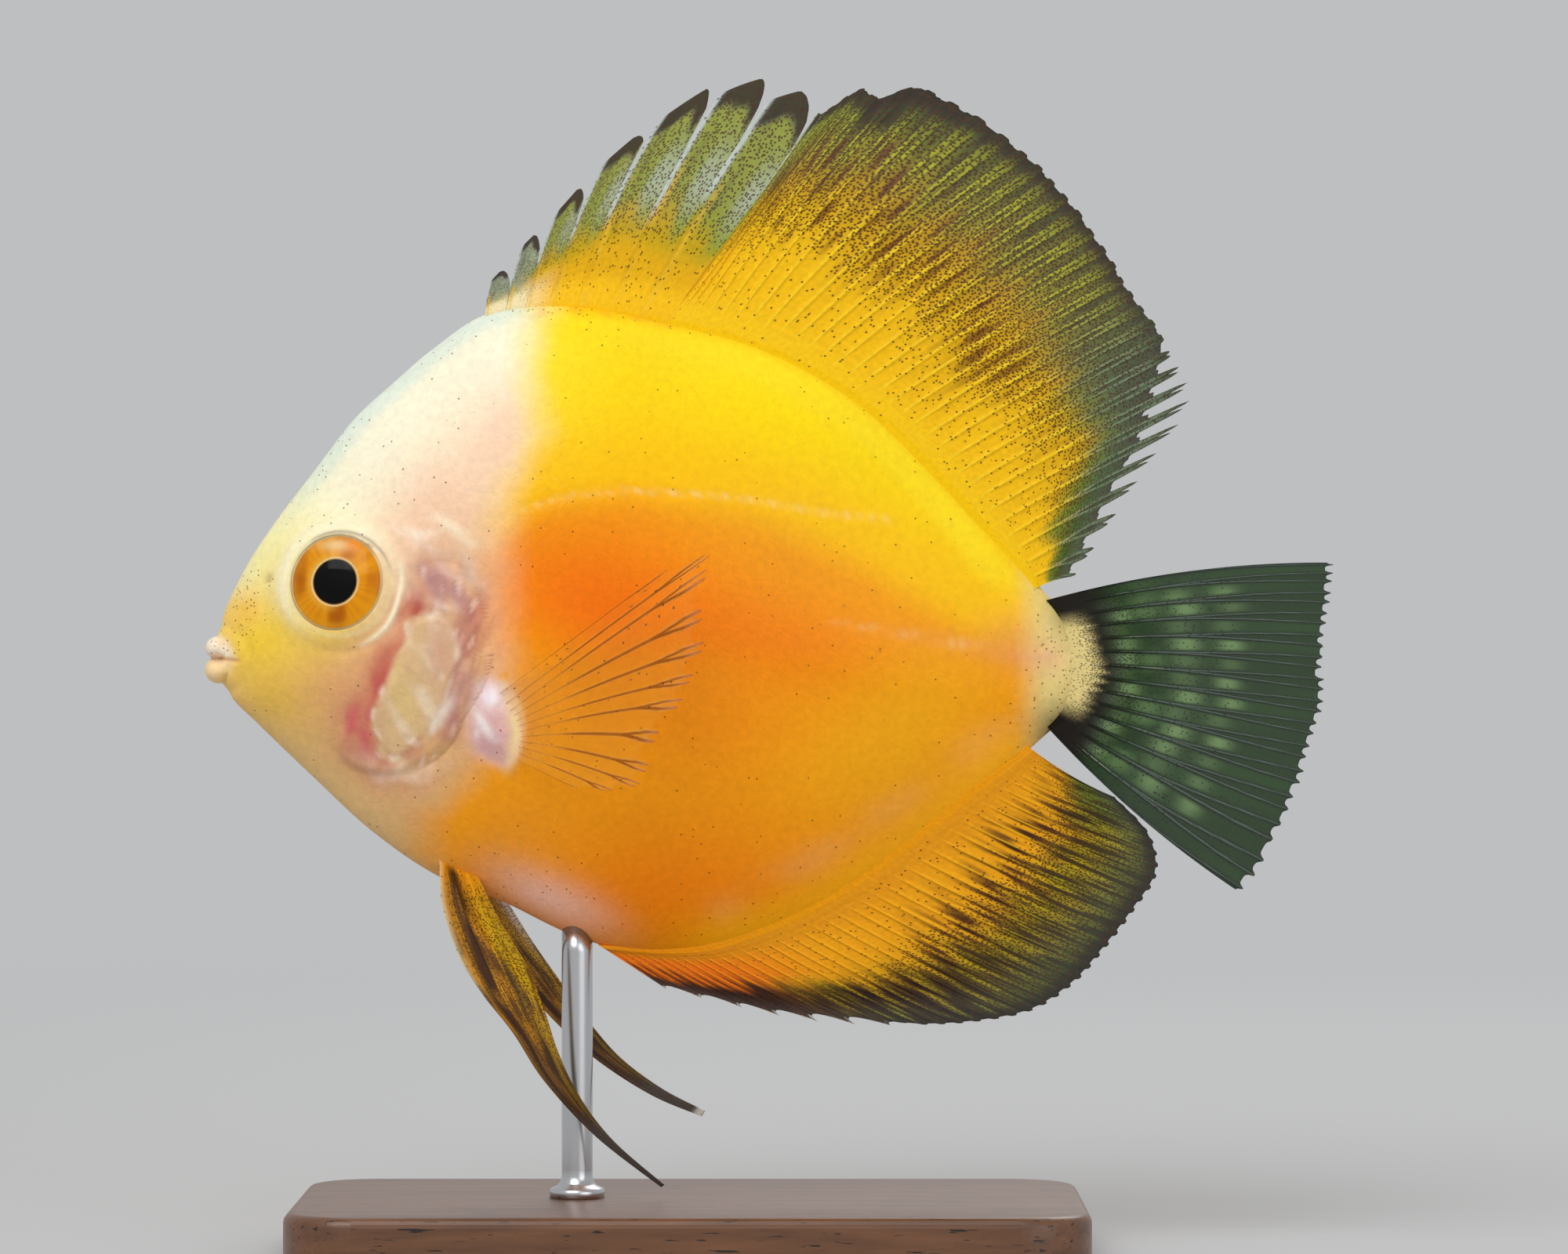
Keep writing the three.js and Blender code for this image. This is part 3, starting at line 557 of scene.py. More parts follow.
    skin = lay(
        skin,
        (0.8 * stroke(bright, ux, uh, 0.9, 0.05), "f2e4d2"),
        (0.95 * stroke(drawnLine("cheekRidge"), x, h, 0.42, 0.03, 0.5), "fff4d2"),
        (0.85 * ramp(mouth, 4.2, -2.0) * ramp(h, -0.2, 0.8), "fdeee0"),
        (0.8 * ramp(mouth, 4.4, -2.0) * ramp(h, 1.2, -0.8), "fbdcae"),
        (0.6 * mouthLine(x, h, 0.26) * ramp(mouthBack(x), 4.2, -1.6), "c98648"),
        (0.85 * hill(r, 8.3, 1.2) * smooth(0.55 + 0.7 * np.sin(arc - 0.6)), "fdf0cc"),
        (0.45 * hill(r, 7.3, 0.35), "eedca4"),
        (0.55 * hill(r, 7.45, 0.22) * smooth(np.sin(arc + 0.3) * 2 - 0.8), "77727e"),
        (0.6 * hill(nostrilDistance(x, h), 0, 0.5), "8f6a34"),
    )
    paint = mix(paint, skin, head[:, None])
    lobe = insideBy(lobeLoop, wx, wh)
    paint = lay(
        paint,
        (0.9 * ramp(lobe, -0.9, 2.4), "e9bdb8"),
        (0.5 * smooth(lobe / 1.5) * blot(x, h, -27.5, -10.5, 3, 3), "dda4ae"),
    )
    for points, width, strength, code in lobeStrokes:
        paint = lay(paint, (strength * stroke(points, wx, wh, width, 0.05, 0.5), code))
    for name in ("upperLine", "rearLine"):
        line, along = nearLine(drawnLine(name), x, h)
        dash = 0.4 + 0.6 * smooth(np.sin(along * 160) * 2)
        faint = smooth(along * 2.5) if name == "upperLine" else 0.7
        paint = lay(paint, (0.4 * hill(line, 0, 0.3) * dash * faint, "ffe2a0"))
    return np.clip(paint * (1 + 0.03 * grain(x, h, 4.5, 21))[:, None], 0, 1)


def skinPepper(x, h, rho):  # chance of a brown speck
    cluster = smooth(0.4 + 0.8 * grain(x, h, 3.4, 89))
    chance = 0.02 + 0.06 * ramp(rho, 0.8, 0.15) * ramp(x, -30, 15) * cluster
    chance += 0.95 * ramp(x, 46.5, 8.5)
    chance += 0.75 * blot(x, h, -62.8, 8, 3.2, 4.4) * (0.35 + 0.65 * cluster)
    chance += 0.2 * ramp(rho, 0.93, 0.05) * ramp(x, -10, -20) * cluster
    chance += 0.3 * ramp(rho, 0.95, 0.04) * ramp(x, -34, 8) * ramp(h, 40, 6)
    for strength, *place in skinValues["speckPatches"]:
        chance += strength * blot(x, h, *place)
    return np.where(insideBy(gillLoop, x, h) > 0, chance * skinValues["gillSpecks"], chance)


def makeSkin():
    bm = bmesh.new()
    columns, rings = bodyValues["columns"], bodyValues["rings"]
    bmesh.ops.create_uvsphere(bm, u_segments=columns, v_segments=rings, radius=1.0)
    bmesh.ops.rotate(bm, verts=bm.verts, matrix=Matrix.Rotation(math.pi / 2, 3, "X"))
    for zone, cuts in ((inGill, 1), (inSnout, 2), (inEye, 2)):  # finer mesh where the head has detail
        bm.faces.ensure_lookup_table()
        centres = np.array([f.calc_center_median() for f in bm.faces])
        centres /= np.linalg.norm(centres, axis=1)[:, None]
        x, h, rho = spread(centres)
        chosen = np.nonzero(zone(x, h))[0]
        edges = {e for i in chosen for e in bm.faces[i].edges}
        bmesh.ops.subdivide_edges(bm, edges=list(edges), cuts=cuts, use_grid_fill=True)
        for v in bm.verts:
            v.co.normalize()
    skin = meshFrom(bm, "fish_skin")
    unit = vertexPlaces(skin)
    x, h, rho = spread(unit)
    y = np.sign(np.where(np.abs(unit[:, 1]) < 1e-5, 0, unit[:, 1])) * halfWidth(x, rho)
    co = inMetres(x, y, h)
    moveVertices(skin, co)
    normals = np.empty(len(co) * 3, dtype=np.float32)
    skin.data.vertices.foreach_get("normal", normals)
    raised = co + normals.reshape(-1, 3) * skinRelief(x, h)[:, None] * mm
    raised = fitLids(roundLips(raised / mm - (0, 0, mouthHeight))) + (0, 0, mouthHeight)
    moveVertices(skin, raised * mm)
    storePaint(skin, "skinPaint", skinPaint(x, h, rho))
    wet = 0.3 + 0.12 * ramp(rho, 0.5, 0.4)
    storePaint(skin, "skinNotes", np.column_stack([skinPepper(x, h, rho), wet]))
    return skin


def inEye(x, h):
    return eyeDistance(x, h) < eyeValues["fineWithin"]


def inSnout(x, h):
    return (x < mouthValues["fineBefore"]) & (np.abs(h - mouthValues["heart"][2]) < mouthValues["fineHalf"])


def inGill(x, h):
    first, last, low, high = skinValues["gillZone"]
    return (x > first) & (x < last) & (h > low) & (h < high)


# Materials are built from small wiring helpers.
def newMaterial(name):
    material = bpy.data.materials.new(name)
    material.use_nodes = True
    return material, material.node_tree, material.node_tree.nodes["Principled BSDF"]


def wire(tree, node, values):  # each value is a constant, a paint code, or the node or socket that feeds it
    for key, value in values.items():
        if isinstance(value, bpy.types.Node):
            value = value.outputs[0]
        if isinstance(value, bpy.types.NodeSocket):
            tree.links.new(value, node.inputs[key])
        else:
            node.inputs[key].default_value = (*rgb(value), 1) if isinstance(value, str) else value


def addNode(tree, kind, values=None, **settings):
    node = tree.nodes.new(kind)
    for key, value in settings.items():
        setattr(node, key, value)
    wire(tree, node, values or {})
    return node


def objectPlace(tree, *scale):  # places on the piece, stretched where a scale is given
    place = addNode(tree, "ShaderNodeTexCoord").outputs["Object"]
    return addNode(tree, "ShaderNodeMapping", {"Vector": place, "Scale": scale}) if scale else place


def readPaint(tree, name):
    return addNode(tree, "ShaderNodeAttribute", attribute_name=name)


def readNotes(tree, name):
    return addNode(tree, "ShaderNodeSeparateColor", {0: readPaint(tree, name)}).outputs


def calculate(tree, operation, a, b):
    return addNode(tree, "ShaderNodeMath", {0: a, 1: b}, operation=operation)


def mapped(tree, value, low, high, toLow=0.0, toHigh=1.0):
    limits = {"From Min": low, "From Max": high, "To Min": toLow, "To Max": toHigh}
    return addNode(tree, "ShaderNodeMapRange", {"Value": value, **limits})


def noise(tree, place, scale, **values):
    return addNode(tree, "ShaderNodeTexNoise", {"Vector": place, "Scale": scale, **values})


def blendColour(tree, amount, under, over, how="MIX"):
    values = {0: amount, 6: under, 7: over}
    return addNode(tree, "ShaderNodeMix", values, data_type="RGBA", blend_type=how).outputs[2]


def mottled(tree, paint, cloud, *limits):  # the paint, a little lighter and darker from place to place
    shade = mapped(tree, cloud, *limits)
    tone = addNode(tree, "ShaderNodeCombineColor", {0: shade, 1: shade, 2: shade})
    return blendColour(tree, 1.0, paint, tone, "MULTIPLY")


def bumped(tree, height, strength, distance):
    return addNode(tree, "ShaderNodeBump", {"Height": height, "Strength": strength, "Distance": distance})


def speckMask(tree, vector, cell, size, chance, dimensions="3D"):
    values = {"Vector": vector, "Scale": 1 / cell}
    cells = addNode(tree, "ShaderNodeTexVoronoi", values, voronoi_dimensions=dimensions)
    near = mapped(tree, cells, size * 0.75, size * 1.15, 1.0, 0.0)
    draw = addNode(tree, "ShaderNodeSeparateColor", {0: cells.outputs["Color"]})
    return calculate(tree, "MULTIPLY", near, calculate(tree, "LESS_THAN", draw, chance))


def fadeBetween(tree, share, first, second):  # one finish over into the other, at the material's output
    both = addNode(tree, "ShaderNodeMixShader", {0: share, 1: first, 2: second})
    wire(tree, tree.nodes["Material Output"], {"Surface": both})


def skinMaterial():
    material, tree, shader = newMaterial("wet scaled skin")
    place, notes = objectPlace(tree), readNotes(tree, "skinNotes")
    cloud = noise(tree, place, 900.0, Detail=4.0, Roughness=0.6)
    colour = mottled(tree, readPaint(tree, "skinPaint"), cloud, 0.3, 0.7, 0.93, 1.05)
    specks = speckMask(tree, place, skinValues["speckCell"], skinValues["speckSize"], notes[0])
    values = {"Vector": place, "Scale": 640.0}
    scales = addNode(tree, "ShaderNodeTexVoronoi", values, feature="DISTANCE_TO_EDGE")
    height = calculate(tree, "ADD", mapped(tree, scales, 0.0, 0.16), cloud)
    wire(tree, shader, {
        "Base Color": blendColour(tree, calculate(tree, "MULTIPLY", specks, 0.8), colour, "6e3d10"),
        "Normal": bumped(tree, height, 0.16, 0.00012),
        "Roughness": notes[1],
        "Subsurface Weight": 0.22,
        "Subsurface Radius": (1.0, 0.45, 0.12),
        "Subsurface Scale": 0.0016,
        "Specular IOR Level": 0.14,
        "Coat Weight": 0.02,
        "Coat Roughness": 0.2,
    })
    return material


skin = makeSkin()
fleshNodes = ("head", "torso", "tail_stalk", "gill_cover_left", "gill_cover_right")
finishPiece(skin, skinMaterial(), "skin", *fleshNodes)


# Eyes: a turned globe with a domed pupil and a golden iris, under a clear cornea.
def turned(profile, name, steps):
    bm = bmesh.new()
    rungs = [bm.verts.new((r, out, 0)) for r, out in profile]
    edges = [bm.edges.new(pair) for pair in zip(rungs[:-1], rungs[1:])]
    full = {"cent": (0, 0, 0), "axis": (0, 1, 0), "angle": 2 * math.pi, "use_merge": True}
    bmesh.ops.spin(bm, geom=rungs + edges, steps=steps, **full)
    bmesh.ops.remove_doubles(bm, verts=bm.verts, dist=1e-6)
    bmesh.ops.recalc_face_normals(bm, faces=bm.faces)
    return meshFrom(bm, name)


def globeProfile():
    v = eyeValues
    t = np.linspace(0, 1, v["irisSteps"])
    return [*v["dome"], *zip(mix(*v["irisReach"], t), mix(*v["irisOut"], t)), *v["back"]]


def corneaProfile():
    reach, high, seat = eyeValues["cornea"]
    side, top = eyeValues["corneaThick"]
    dome = [(reach * math.sin(a), high * math.cos(a) + seat) for a in np.linspace(0, math.pi / 2, 18)]
    under = [(r - side, out - top) for r, out in reversed(dome[1:])]
    return dome + under + [(0, dome[0][1] - top)]


def irisPaint(local):
    r = np.hypot(local[:, 0], local[:, 2])
    a = np.arctan2(local[:, 2], local[:, 0])
    x, z = local[:, 0], local[:, 2]
    paint = lay(
        "e89608",
        (0.9 * smooth(0.1 + 1.2 * grain(x, z, 1.4, 41)), "b05800"),
        (0.7 * ramp(x, -1, 4) * ramp(r, 3.8, 1) * smooth(0.8 - np.abs(a - 0.1)), "b85c00"),
        (0.6 * smooth(-grain(x, z, 1.1, 42)), "f5ac14"),
        (0.22 * smooth(np.sin(a * 31 + 3 * np.sin(a * 5)) * 1.4), "a85800"),
        (0.5 * hill(r, 3.6, 0.4) * smooth(-x / 2 + 0.6), "efb43c"),
        (0.5 * hill(r, 5.8, 0.5) * (0.5 - 0.5 * np.sin(a)), "f0a818"),
        (0.85 * blot(x, z, -0.2, 4.9, 2.2, 0.8), "efd092"),
        (0.6 * blot(x, z, 2.2, 5.0, 1.2, 0.7), "f88a10"),
        (0.9 * hill(r, 3.18, 0.13), "fbe2a0"),
        (0.9 * ramp(r, 6.05, 0.2), "f3dfa6"),
        (0.85 * hill(r, 6.3, 0.14) * ramp(z, 2.5, 2.5), "4a4652"),
    )
    return lay(paint, (ramp(r, 3.1, -0.1), "010101"))


def eyeMaterials():
    globe, tree, shader = newMaterial("golden iris")
    wire(tree, shader, {
        "Base Color": readPaint(tree, "irisPaint"),
        "Normal": bumped(tree, noise(tree, objectPlace(tree), 2600.0, Detail=3.0), 0.2, 0.00008),
        "Roughness": 0.5,
        "Specular IOR Level": 0.05,
    })
    clear, tree, _ = newMaterial("clear cornea")
    share = addNode(tree, "ShaderNodeFresnel", {"IOR": 1.14})
    gloss = addNode(tree, "ShaderNodeBsdfGlossy", {"Roughness": 0.03})
    fadeBetween(tree, share, addNode(tree, "ShaderNodeBsdfTransparent"), gloss)
    return globe, clear


def makeEyes():
    globeFinish, corneaFinish = eyeMaterials()
    for side, word in ((-1, "left"), (1, "right")):
        globe = turned(globeProfile(), f"eye_{word}_globe", 120)
        local = vertexPlaces(globe)
        storePaint(globe, "irisPaint", irisPaint(local))
        moveVertices(globe, toEye(local, side))
        cornea = turned(corneaProfile(), f"eye_{word}_cornea", 96)
        moveVertices(cornea, toEye(vertexPlaces(cornea), side))
        if side < 0:
            for piece in (globe, cornea):
                piece.data.flip_normals()
        finishPiece(globe, globeFinish, "eye", f"eye_{word}")
        finishPiece(cornea, corneaFinish, "eye")


makeEyes()


# Fins: closed sheets whose columns run from root to tip, with the rays raised on both faces.
finValues = {
    "web": 0.24,  # half the web's thickness at the root, in millimetres
    "edge": 0.17,
    "ray": 0.6,
    "rayTip": 0.3,
    "foot": 0.9,
    "footLength": 0.1,
    "sunk": 0.09,
    "speck": 0.4,
    "speckSize": 0.36,
    "stretch": 1.4,  # specks are longer along the rays than across them
}


def pairedFin(pairs, bow, sway):
    roots = [root for root, _ in pairs]
    tips = [tip for _, tip in pairs]

    def place(s, t):
        root, tip = openCurve(roots, s), openCurve(tips, s)
        along = tip - root
        start = root - finValues["sunk"] * along
        across = np.column_stack([-along[:, 1], along[:, 0]]) / np.linalg.norm(along, axis=1)[:, None]
        middle = (start + tip) / 2 + 2 * bow(s)[:, None] * across
        share = t[:, None]
        p = (1 - share) ** 2 * start + 2 * share * (1 - share) * middle + share**2 * tip
        return p[:, 0], sway(p[:, 0], p[:, 1], t), p[:, 1]

    return place


def rayGrid(first, last, count, perRay):  # columns of a rayed stretch: place, ray number, offset from the ray
    ray = np.linspace(0, count - 1, (count - 1) * perRay + 1)
    return mix(first, last, ray / (count - 1)), ray, ray - np.round(ray)


def branches(offset, t, forkAt, spreadBy, width):  # how much a place belongs to a ray that forks twice
    first = spreadBy * ramp(t, forkAt, 0.3)
    second = 0.45 * spreadBy * ramp(t, forkAt + 0.32, 0.22)
    best = np.zeros_like(offset)
    for a in (-1, 1):
        for b in (-1, 1):
            best = np.maximum(best, hill(offset, a * first + b * second, width))
    return best


def forked(offset, apart, width):  # how much a place belongs to a ray that forks once
    return np.maximum(hill(offset, apart, width), hill(offset, -apart, width))


def finSheet(name, columns, rows, place, halfThick):
    s, ray, offset, reach = columns
    count = len(s)
    bm = bmesh.new()
    bmesh.ops.create_grid(bm, x_segments=count - 1, y_segments=rows - 1, size=1.0)
    raised = bmesh.ops.extrude_face_region(bm, geom=bm.faces[:], use_keep_orig=True)
    upper = [v for v in raised["geom"] if isinstance(v, bmesh.types.BMVert)]
    bmesh.ops.translate(bm, verts=upper, vec=(0, 0, 1))
    bmesh.ops.recalc_face_normals(bm, faces=bm.faces)
    piece = meshFrom(bm, name)
    grid = vertexPlaces(piece)
    column = np.rint((grid[:, 0] + 1) / 2 * (count - 1)).astype(int)
    share = (grid[:, 1] + 1) / 2
    face = np.where(grid[:, 2] > 0.5, 1.0, -1.0)
    at = {"s": s[column], "ray": ray[column], "offset": offset[column], "t": share * reach[column]}
    at["edge"] = (1 - share) * reach[column]  # how far a place is from the fin's margin
    at["u"] = (at["t"] - finValues["sunk"]) / (1 - finValues["sunk"])  # share of the way from body to tip
    at["x"], at["y"], at["h"] = place(at["s"], at["t"])
    thick, at["ridge"] = halfThick(at)
    moveVertices(piece, inMetres(at["x"], at["y"] + face * thick, at["h"]))
    return piece, at


def paintFin(piece, at, paint, cover, pepper, pitch, length):
    layer = 1 - np.sqrt(1 - np.clip(cover, 0, 0.995))  # each of the two faces lets part of the light by
    flat = np.column_stack([at["ray"] * pitch * finValues["stretch"], at["t"] * length, 0 * at["t"]])
    storePaint(piece, "finPaint", np.clip(paint, 0, 1))
    storePaint(piece, "finNotes", np.column_stack([layer, np.clip(pepper, 0, 1)]))
    storePaint(piece, "finPlace", flat)


def streaks(at, across, along, seed):  # long uneven streaks that follow the rays
    return grain(at["ray"] * across, at["t"] * along, 1.0, seed)


def rayTones(ridge):  # the outline on a ray's flanks, and its crest
    return ramp(ridge, 0.1, 0.2) * ramp(ridge, 0.78, -0.25), ramp(ridge, 0.6, 0.3)


def finMaterial(name, speckColour):
    v = finValues
    material, tree, shader = newMaterial(name)
    place, notes = readPaint(tree, "finPlace").outputs["Vector"], readNotes(tree, "finNotes")
    specks = speckMask(tree, place, v["speck"], v["speckSize"], notes[1], "2D")
    cloud = noise(tree, place, 1.6, Detail=3.0)
    colour = mottled(tree, readPaint(tree, "finPaint"), cloud, 0.25, 0.75, 0.88, 1.08)
    values = {"Vector": place, "Scale": 0.32, "Distortion": 0.0}
    joints = addNode(tree, "ShaderNodeTexWave", values, bands_direction="Y").outputs["Fac"]
    wire(tree, shader, {
        "Base Color": blendColour(tree, calculate(tree, "MULTIPLY", specks, 0.85), colour, speckColour),
        "Alpha": calculate(tree, "MAXIMUM", notes[0], calculate(tree, "MULTIPLY", specks, 0.8)),
        "Normal": bumped(tree, calculate(tree, "ADD", joints, cloud), 0.2, 0.0001),
        "Roughness": 0.5,
        "Specular IOR Level": 0.1,
    })
    return material


def ridged(at, ridge, rayScale=1.0):  # half thickness: fleshy foot, thin web, and the rays raised on it
    v = finValues
    foot = v["foot"] * np.exp(-np.maximum(at["t"] - v["sunk"], 0) / v["footLength"])
    thin = mix(v["web"], v["edge"], at["t"])
    ray = mix(v["ray"], v["rayTip"], at["t"]) * rayScale
    return np.maximum(foot, mix(thin, ray, ridge)), ridge


def lean(x, h, foot):
    return 0.05 * np.abs(h - foot) * np.sin((x + 20) / 28)


# Dorsal fin: seven free spines with their webs, then the long soft part that ends in loose ray tips.
dorsalValues = {
    "pairs": [
        ((-28.9, 49.6), (-28.2, 54.2)), ((-25.9, 50.2), (-23.8, 59.1)), ((-23.1, 50.6), (-18.9, 64)),
        ((-19.7, 50.8), (-12, 71.2)), ((-15.4, 50.8), (-3.6, 77.8)), ((-11.2, 50.3), (4.7, 81.4)),
        ((-7.2, 49.7), (11.7, 80.6)), ((-3.1, 48.7), (18.1, 78.1)), ((0.5, 47.9), (25, 81.7)),
        ((6.2, 46.5), (35.6, 80.5)), ((12.5, 44.2), (46.5, 73.2)), ((18.9, 40.9), (53.1, 66.7)),
        ((25.1, 36.9), (58.8, 58.7)), ((30.7, 32.2), (63, 51.9)), ((35.7, 26.8), (67.7, 45.3)),
        ((40.5, 21.3), (70.4, 37.6)), ((45.3, 15.8), (64.2, 26.2)), ((49.5, 10.6), (54.6, 12.2)),
    ],
    # Each free web: how deep the cleft behind it goes, where its tip stands, and how far it rises there.
    "lobes": ((0.3, 0.36, -0.03), (0.46, 0.38, -0.02), (0.58, 0.45, 0.0), (0.66, 0.5, -0.01),
              (0.7, 0.64, 0.035), (0.78, 0.6, 0.055), (0.85, 0.42, 0.06)),
    "blunt": (0, 0, 0, 0.2, 0, 0.7, 1),
    "full": (0.3, 0.36, 0.45, 0.64, 0.74, 0.74, 0.74),
    "bows": (0.2, 0.3, 0.4, 0.8, 1.7, 1.1, 0.7, -0.2, 0.7, 1.3, 1.2, 1.0, 0.8, 0.7, 0.6, 0.5, 0.4, 0.3),
    "rays": 33,
    "perRay": 15,
    "rows": 60,
    "spineSteps": (0, 0.02, 0.045, 0.075, 0.11, 0.15, 0.2, 0.26, 0.32, 0.38, 0.44, 0.5, 0.56, 0.62, 0.68,
                   0.73, 0.78, 0.82, 0.86, 0.9, 0.935, 0.965, 0.985),
}


def lobeReach(p, cleft, peak, lift, blunt, full):
    high, back = 1 + lift, mix(cleft, 1, full)
    places = (0, 0.05, peak, mix(peak, 0.9, 0.35), mix(peak, 0.9, 0.7), 0.9, 0.95, 0.985)
    shoulder = (mix(high, back, 0.25 - 0.17 * blunt), mix(high, back, 0.62 - 0.2 * blunt))
    return np.interp(p, places, (0.955, 0.985, high, *shoulder, back, mix(cleft, back, 0.6), cleft))


def dorsalColumns():
    v = dorsalValues
    step = 1 / (len(v["pairs"]) - 1)
    count = len(v["lobes"])
    p = np.tile(v["spineSteps"], count)
    spine = np.repeat(np.arange(count), len(v["spineSteps"]))
    reach = [lobeReach(np.array(v["spineSteps"]), *lobe, blunt, full)
             for lobe, blunt, full in zip(v["lobes"], v["blunt"], v["full"])]
    softFrom = count * step
    softS, softRay, softOffset = rayGrid(softFrom, 1, v["rays"], v["perRay"])
    lengths = np.random.default_rng(54).uniform(-1, 1, v["rays"])[np.round(softRay).astype(int)]
    rear = ramp(softS, 0.81, 0.09)
    between = ramp(np.abs(softOffset), 0.16, 0.12)
    softReach = 1 - between * mix(0.008, 0.2, rear)
    softReach -= rear * (0.1 * hill(softOffset, 0, 0.055) + 0.02 * (softOffset > 0.02))
    softReach += mix(0.003, 0.025, rear) * lengths
    softReach += 0.014 * hill(softS, 0.512, 0.008) - 0.04 * hill(softS, 0.489, 0.012)
    spines = ((spine + p) * step, spine - count + p, p, np.concatenate(reach))
    return [np.concatenate(pair) for pair in zip(spines, (softS, softRay, softOffset, softReach))]


def lobePaint(at):  # the free spines: silver fronts, olive webs, dark tips, golden at the foot
    s, u, edge, p = at["s"], at["u"], at["edge"], at["offset"]
    fine, broad = streaks(at, 8, 20, 57), streaks(at, 2.4, 5, 58)
    pale = ramp(s, 0.2, 0.06)
    paint = lay(
        "99a21e",
        ((0.4 + 0.4 * pale) * ramp(p + 0.1 * broad, 0.5, 0.25) * hill(u, 0.58, 0.14), "b4c49c"),
        (ramp(u - 0.05 * broad, 0.52 - 0.1 * ramp(p, 0.5, 0.3), -0.16), "c9a80e"),
        (ramp(u - 0.03 * broad, 0.34, -0.14), "ecb402"),
        (ramp(u, 0.18, -0.12), "ffc604"),
        (ramp(s, 0.2, -0.12) * ramp(u, 0.32, -0.2), "f6e6b4"),
        (0.85 * ramp(s, 0.14, -0.07) * ramp(u, 0.1, 0.2), "9aa68c"),
    )
    goldTop = mix(0.62, 0.72, pale)
    paint = lay(
        paint,
        (0.85 * hill(p, 0.16, 0.06) * ramp(u, goldTop, -0.2) * smooth(0.7 + fine), "f2c22c"),
        (0.4 * hill(p, 0.3, 0.07) * ramp(u, 0.2, 0.3) * smooth(0.5 + fine), "4a3c0c"),
    )
    silver = ramp(p, 0.125, -0.05) * ramp(u, mix(0.34, 0.5, ramp(s, 0.3, 0.1)), 0.16)
    paint = lay(
        paint,
        (0.95 * silver, "cdd6d0"),
        (0.6 * hill(p, 0.13, 0.02) * silver, "7f7a60"),
    )
    tip = ramp(edge - 0.03 * fine, 0.14, -0.05) * ramp(u, 0.5, 0.12) * ramp(p, 0.02, 0.1)
    tip *= 1 - 0.8 * ramp(p, 0.86, 0.06) * ramp(u, 0.9, -0.1)
    paint = lay(paint, (0.93 * tip, "2c221c"))
    cover = mix(0.99, 0.9, ramp(u, 0.3, 0.25)) - 0.18 * ramp(p, 0.5, 0.2) * hill(u, 0.58, 0.16)
    cover = np.maximum(cover, np.maximum(0.96 * tip, 0.97 * ramp(p, 0.13, -0.06)))
    return paint, cover, 0.1 + 0.62 * ramp(u, 0.25, 0.2) * (1 - 0.85 * silver)


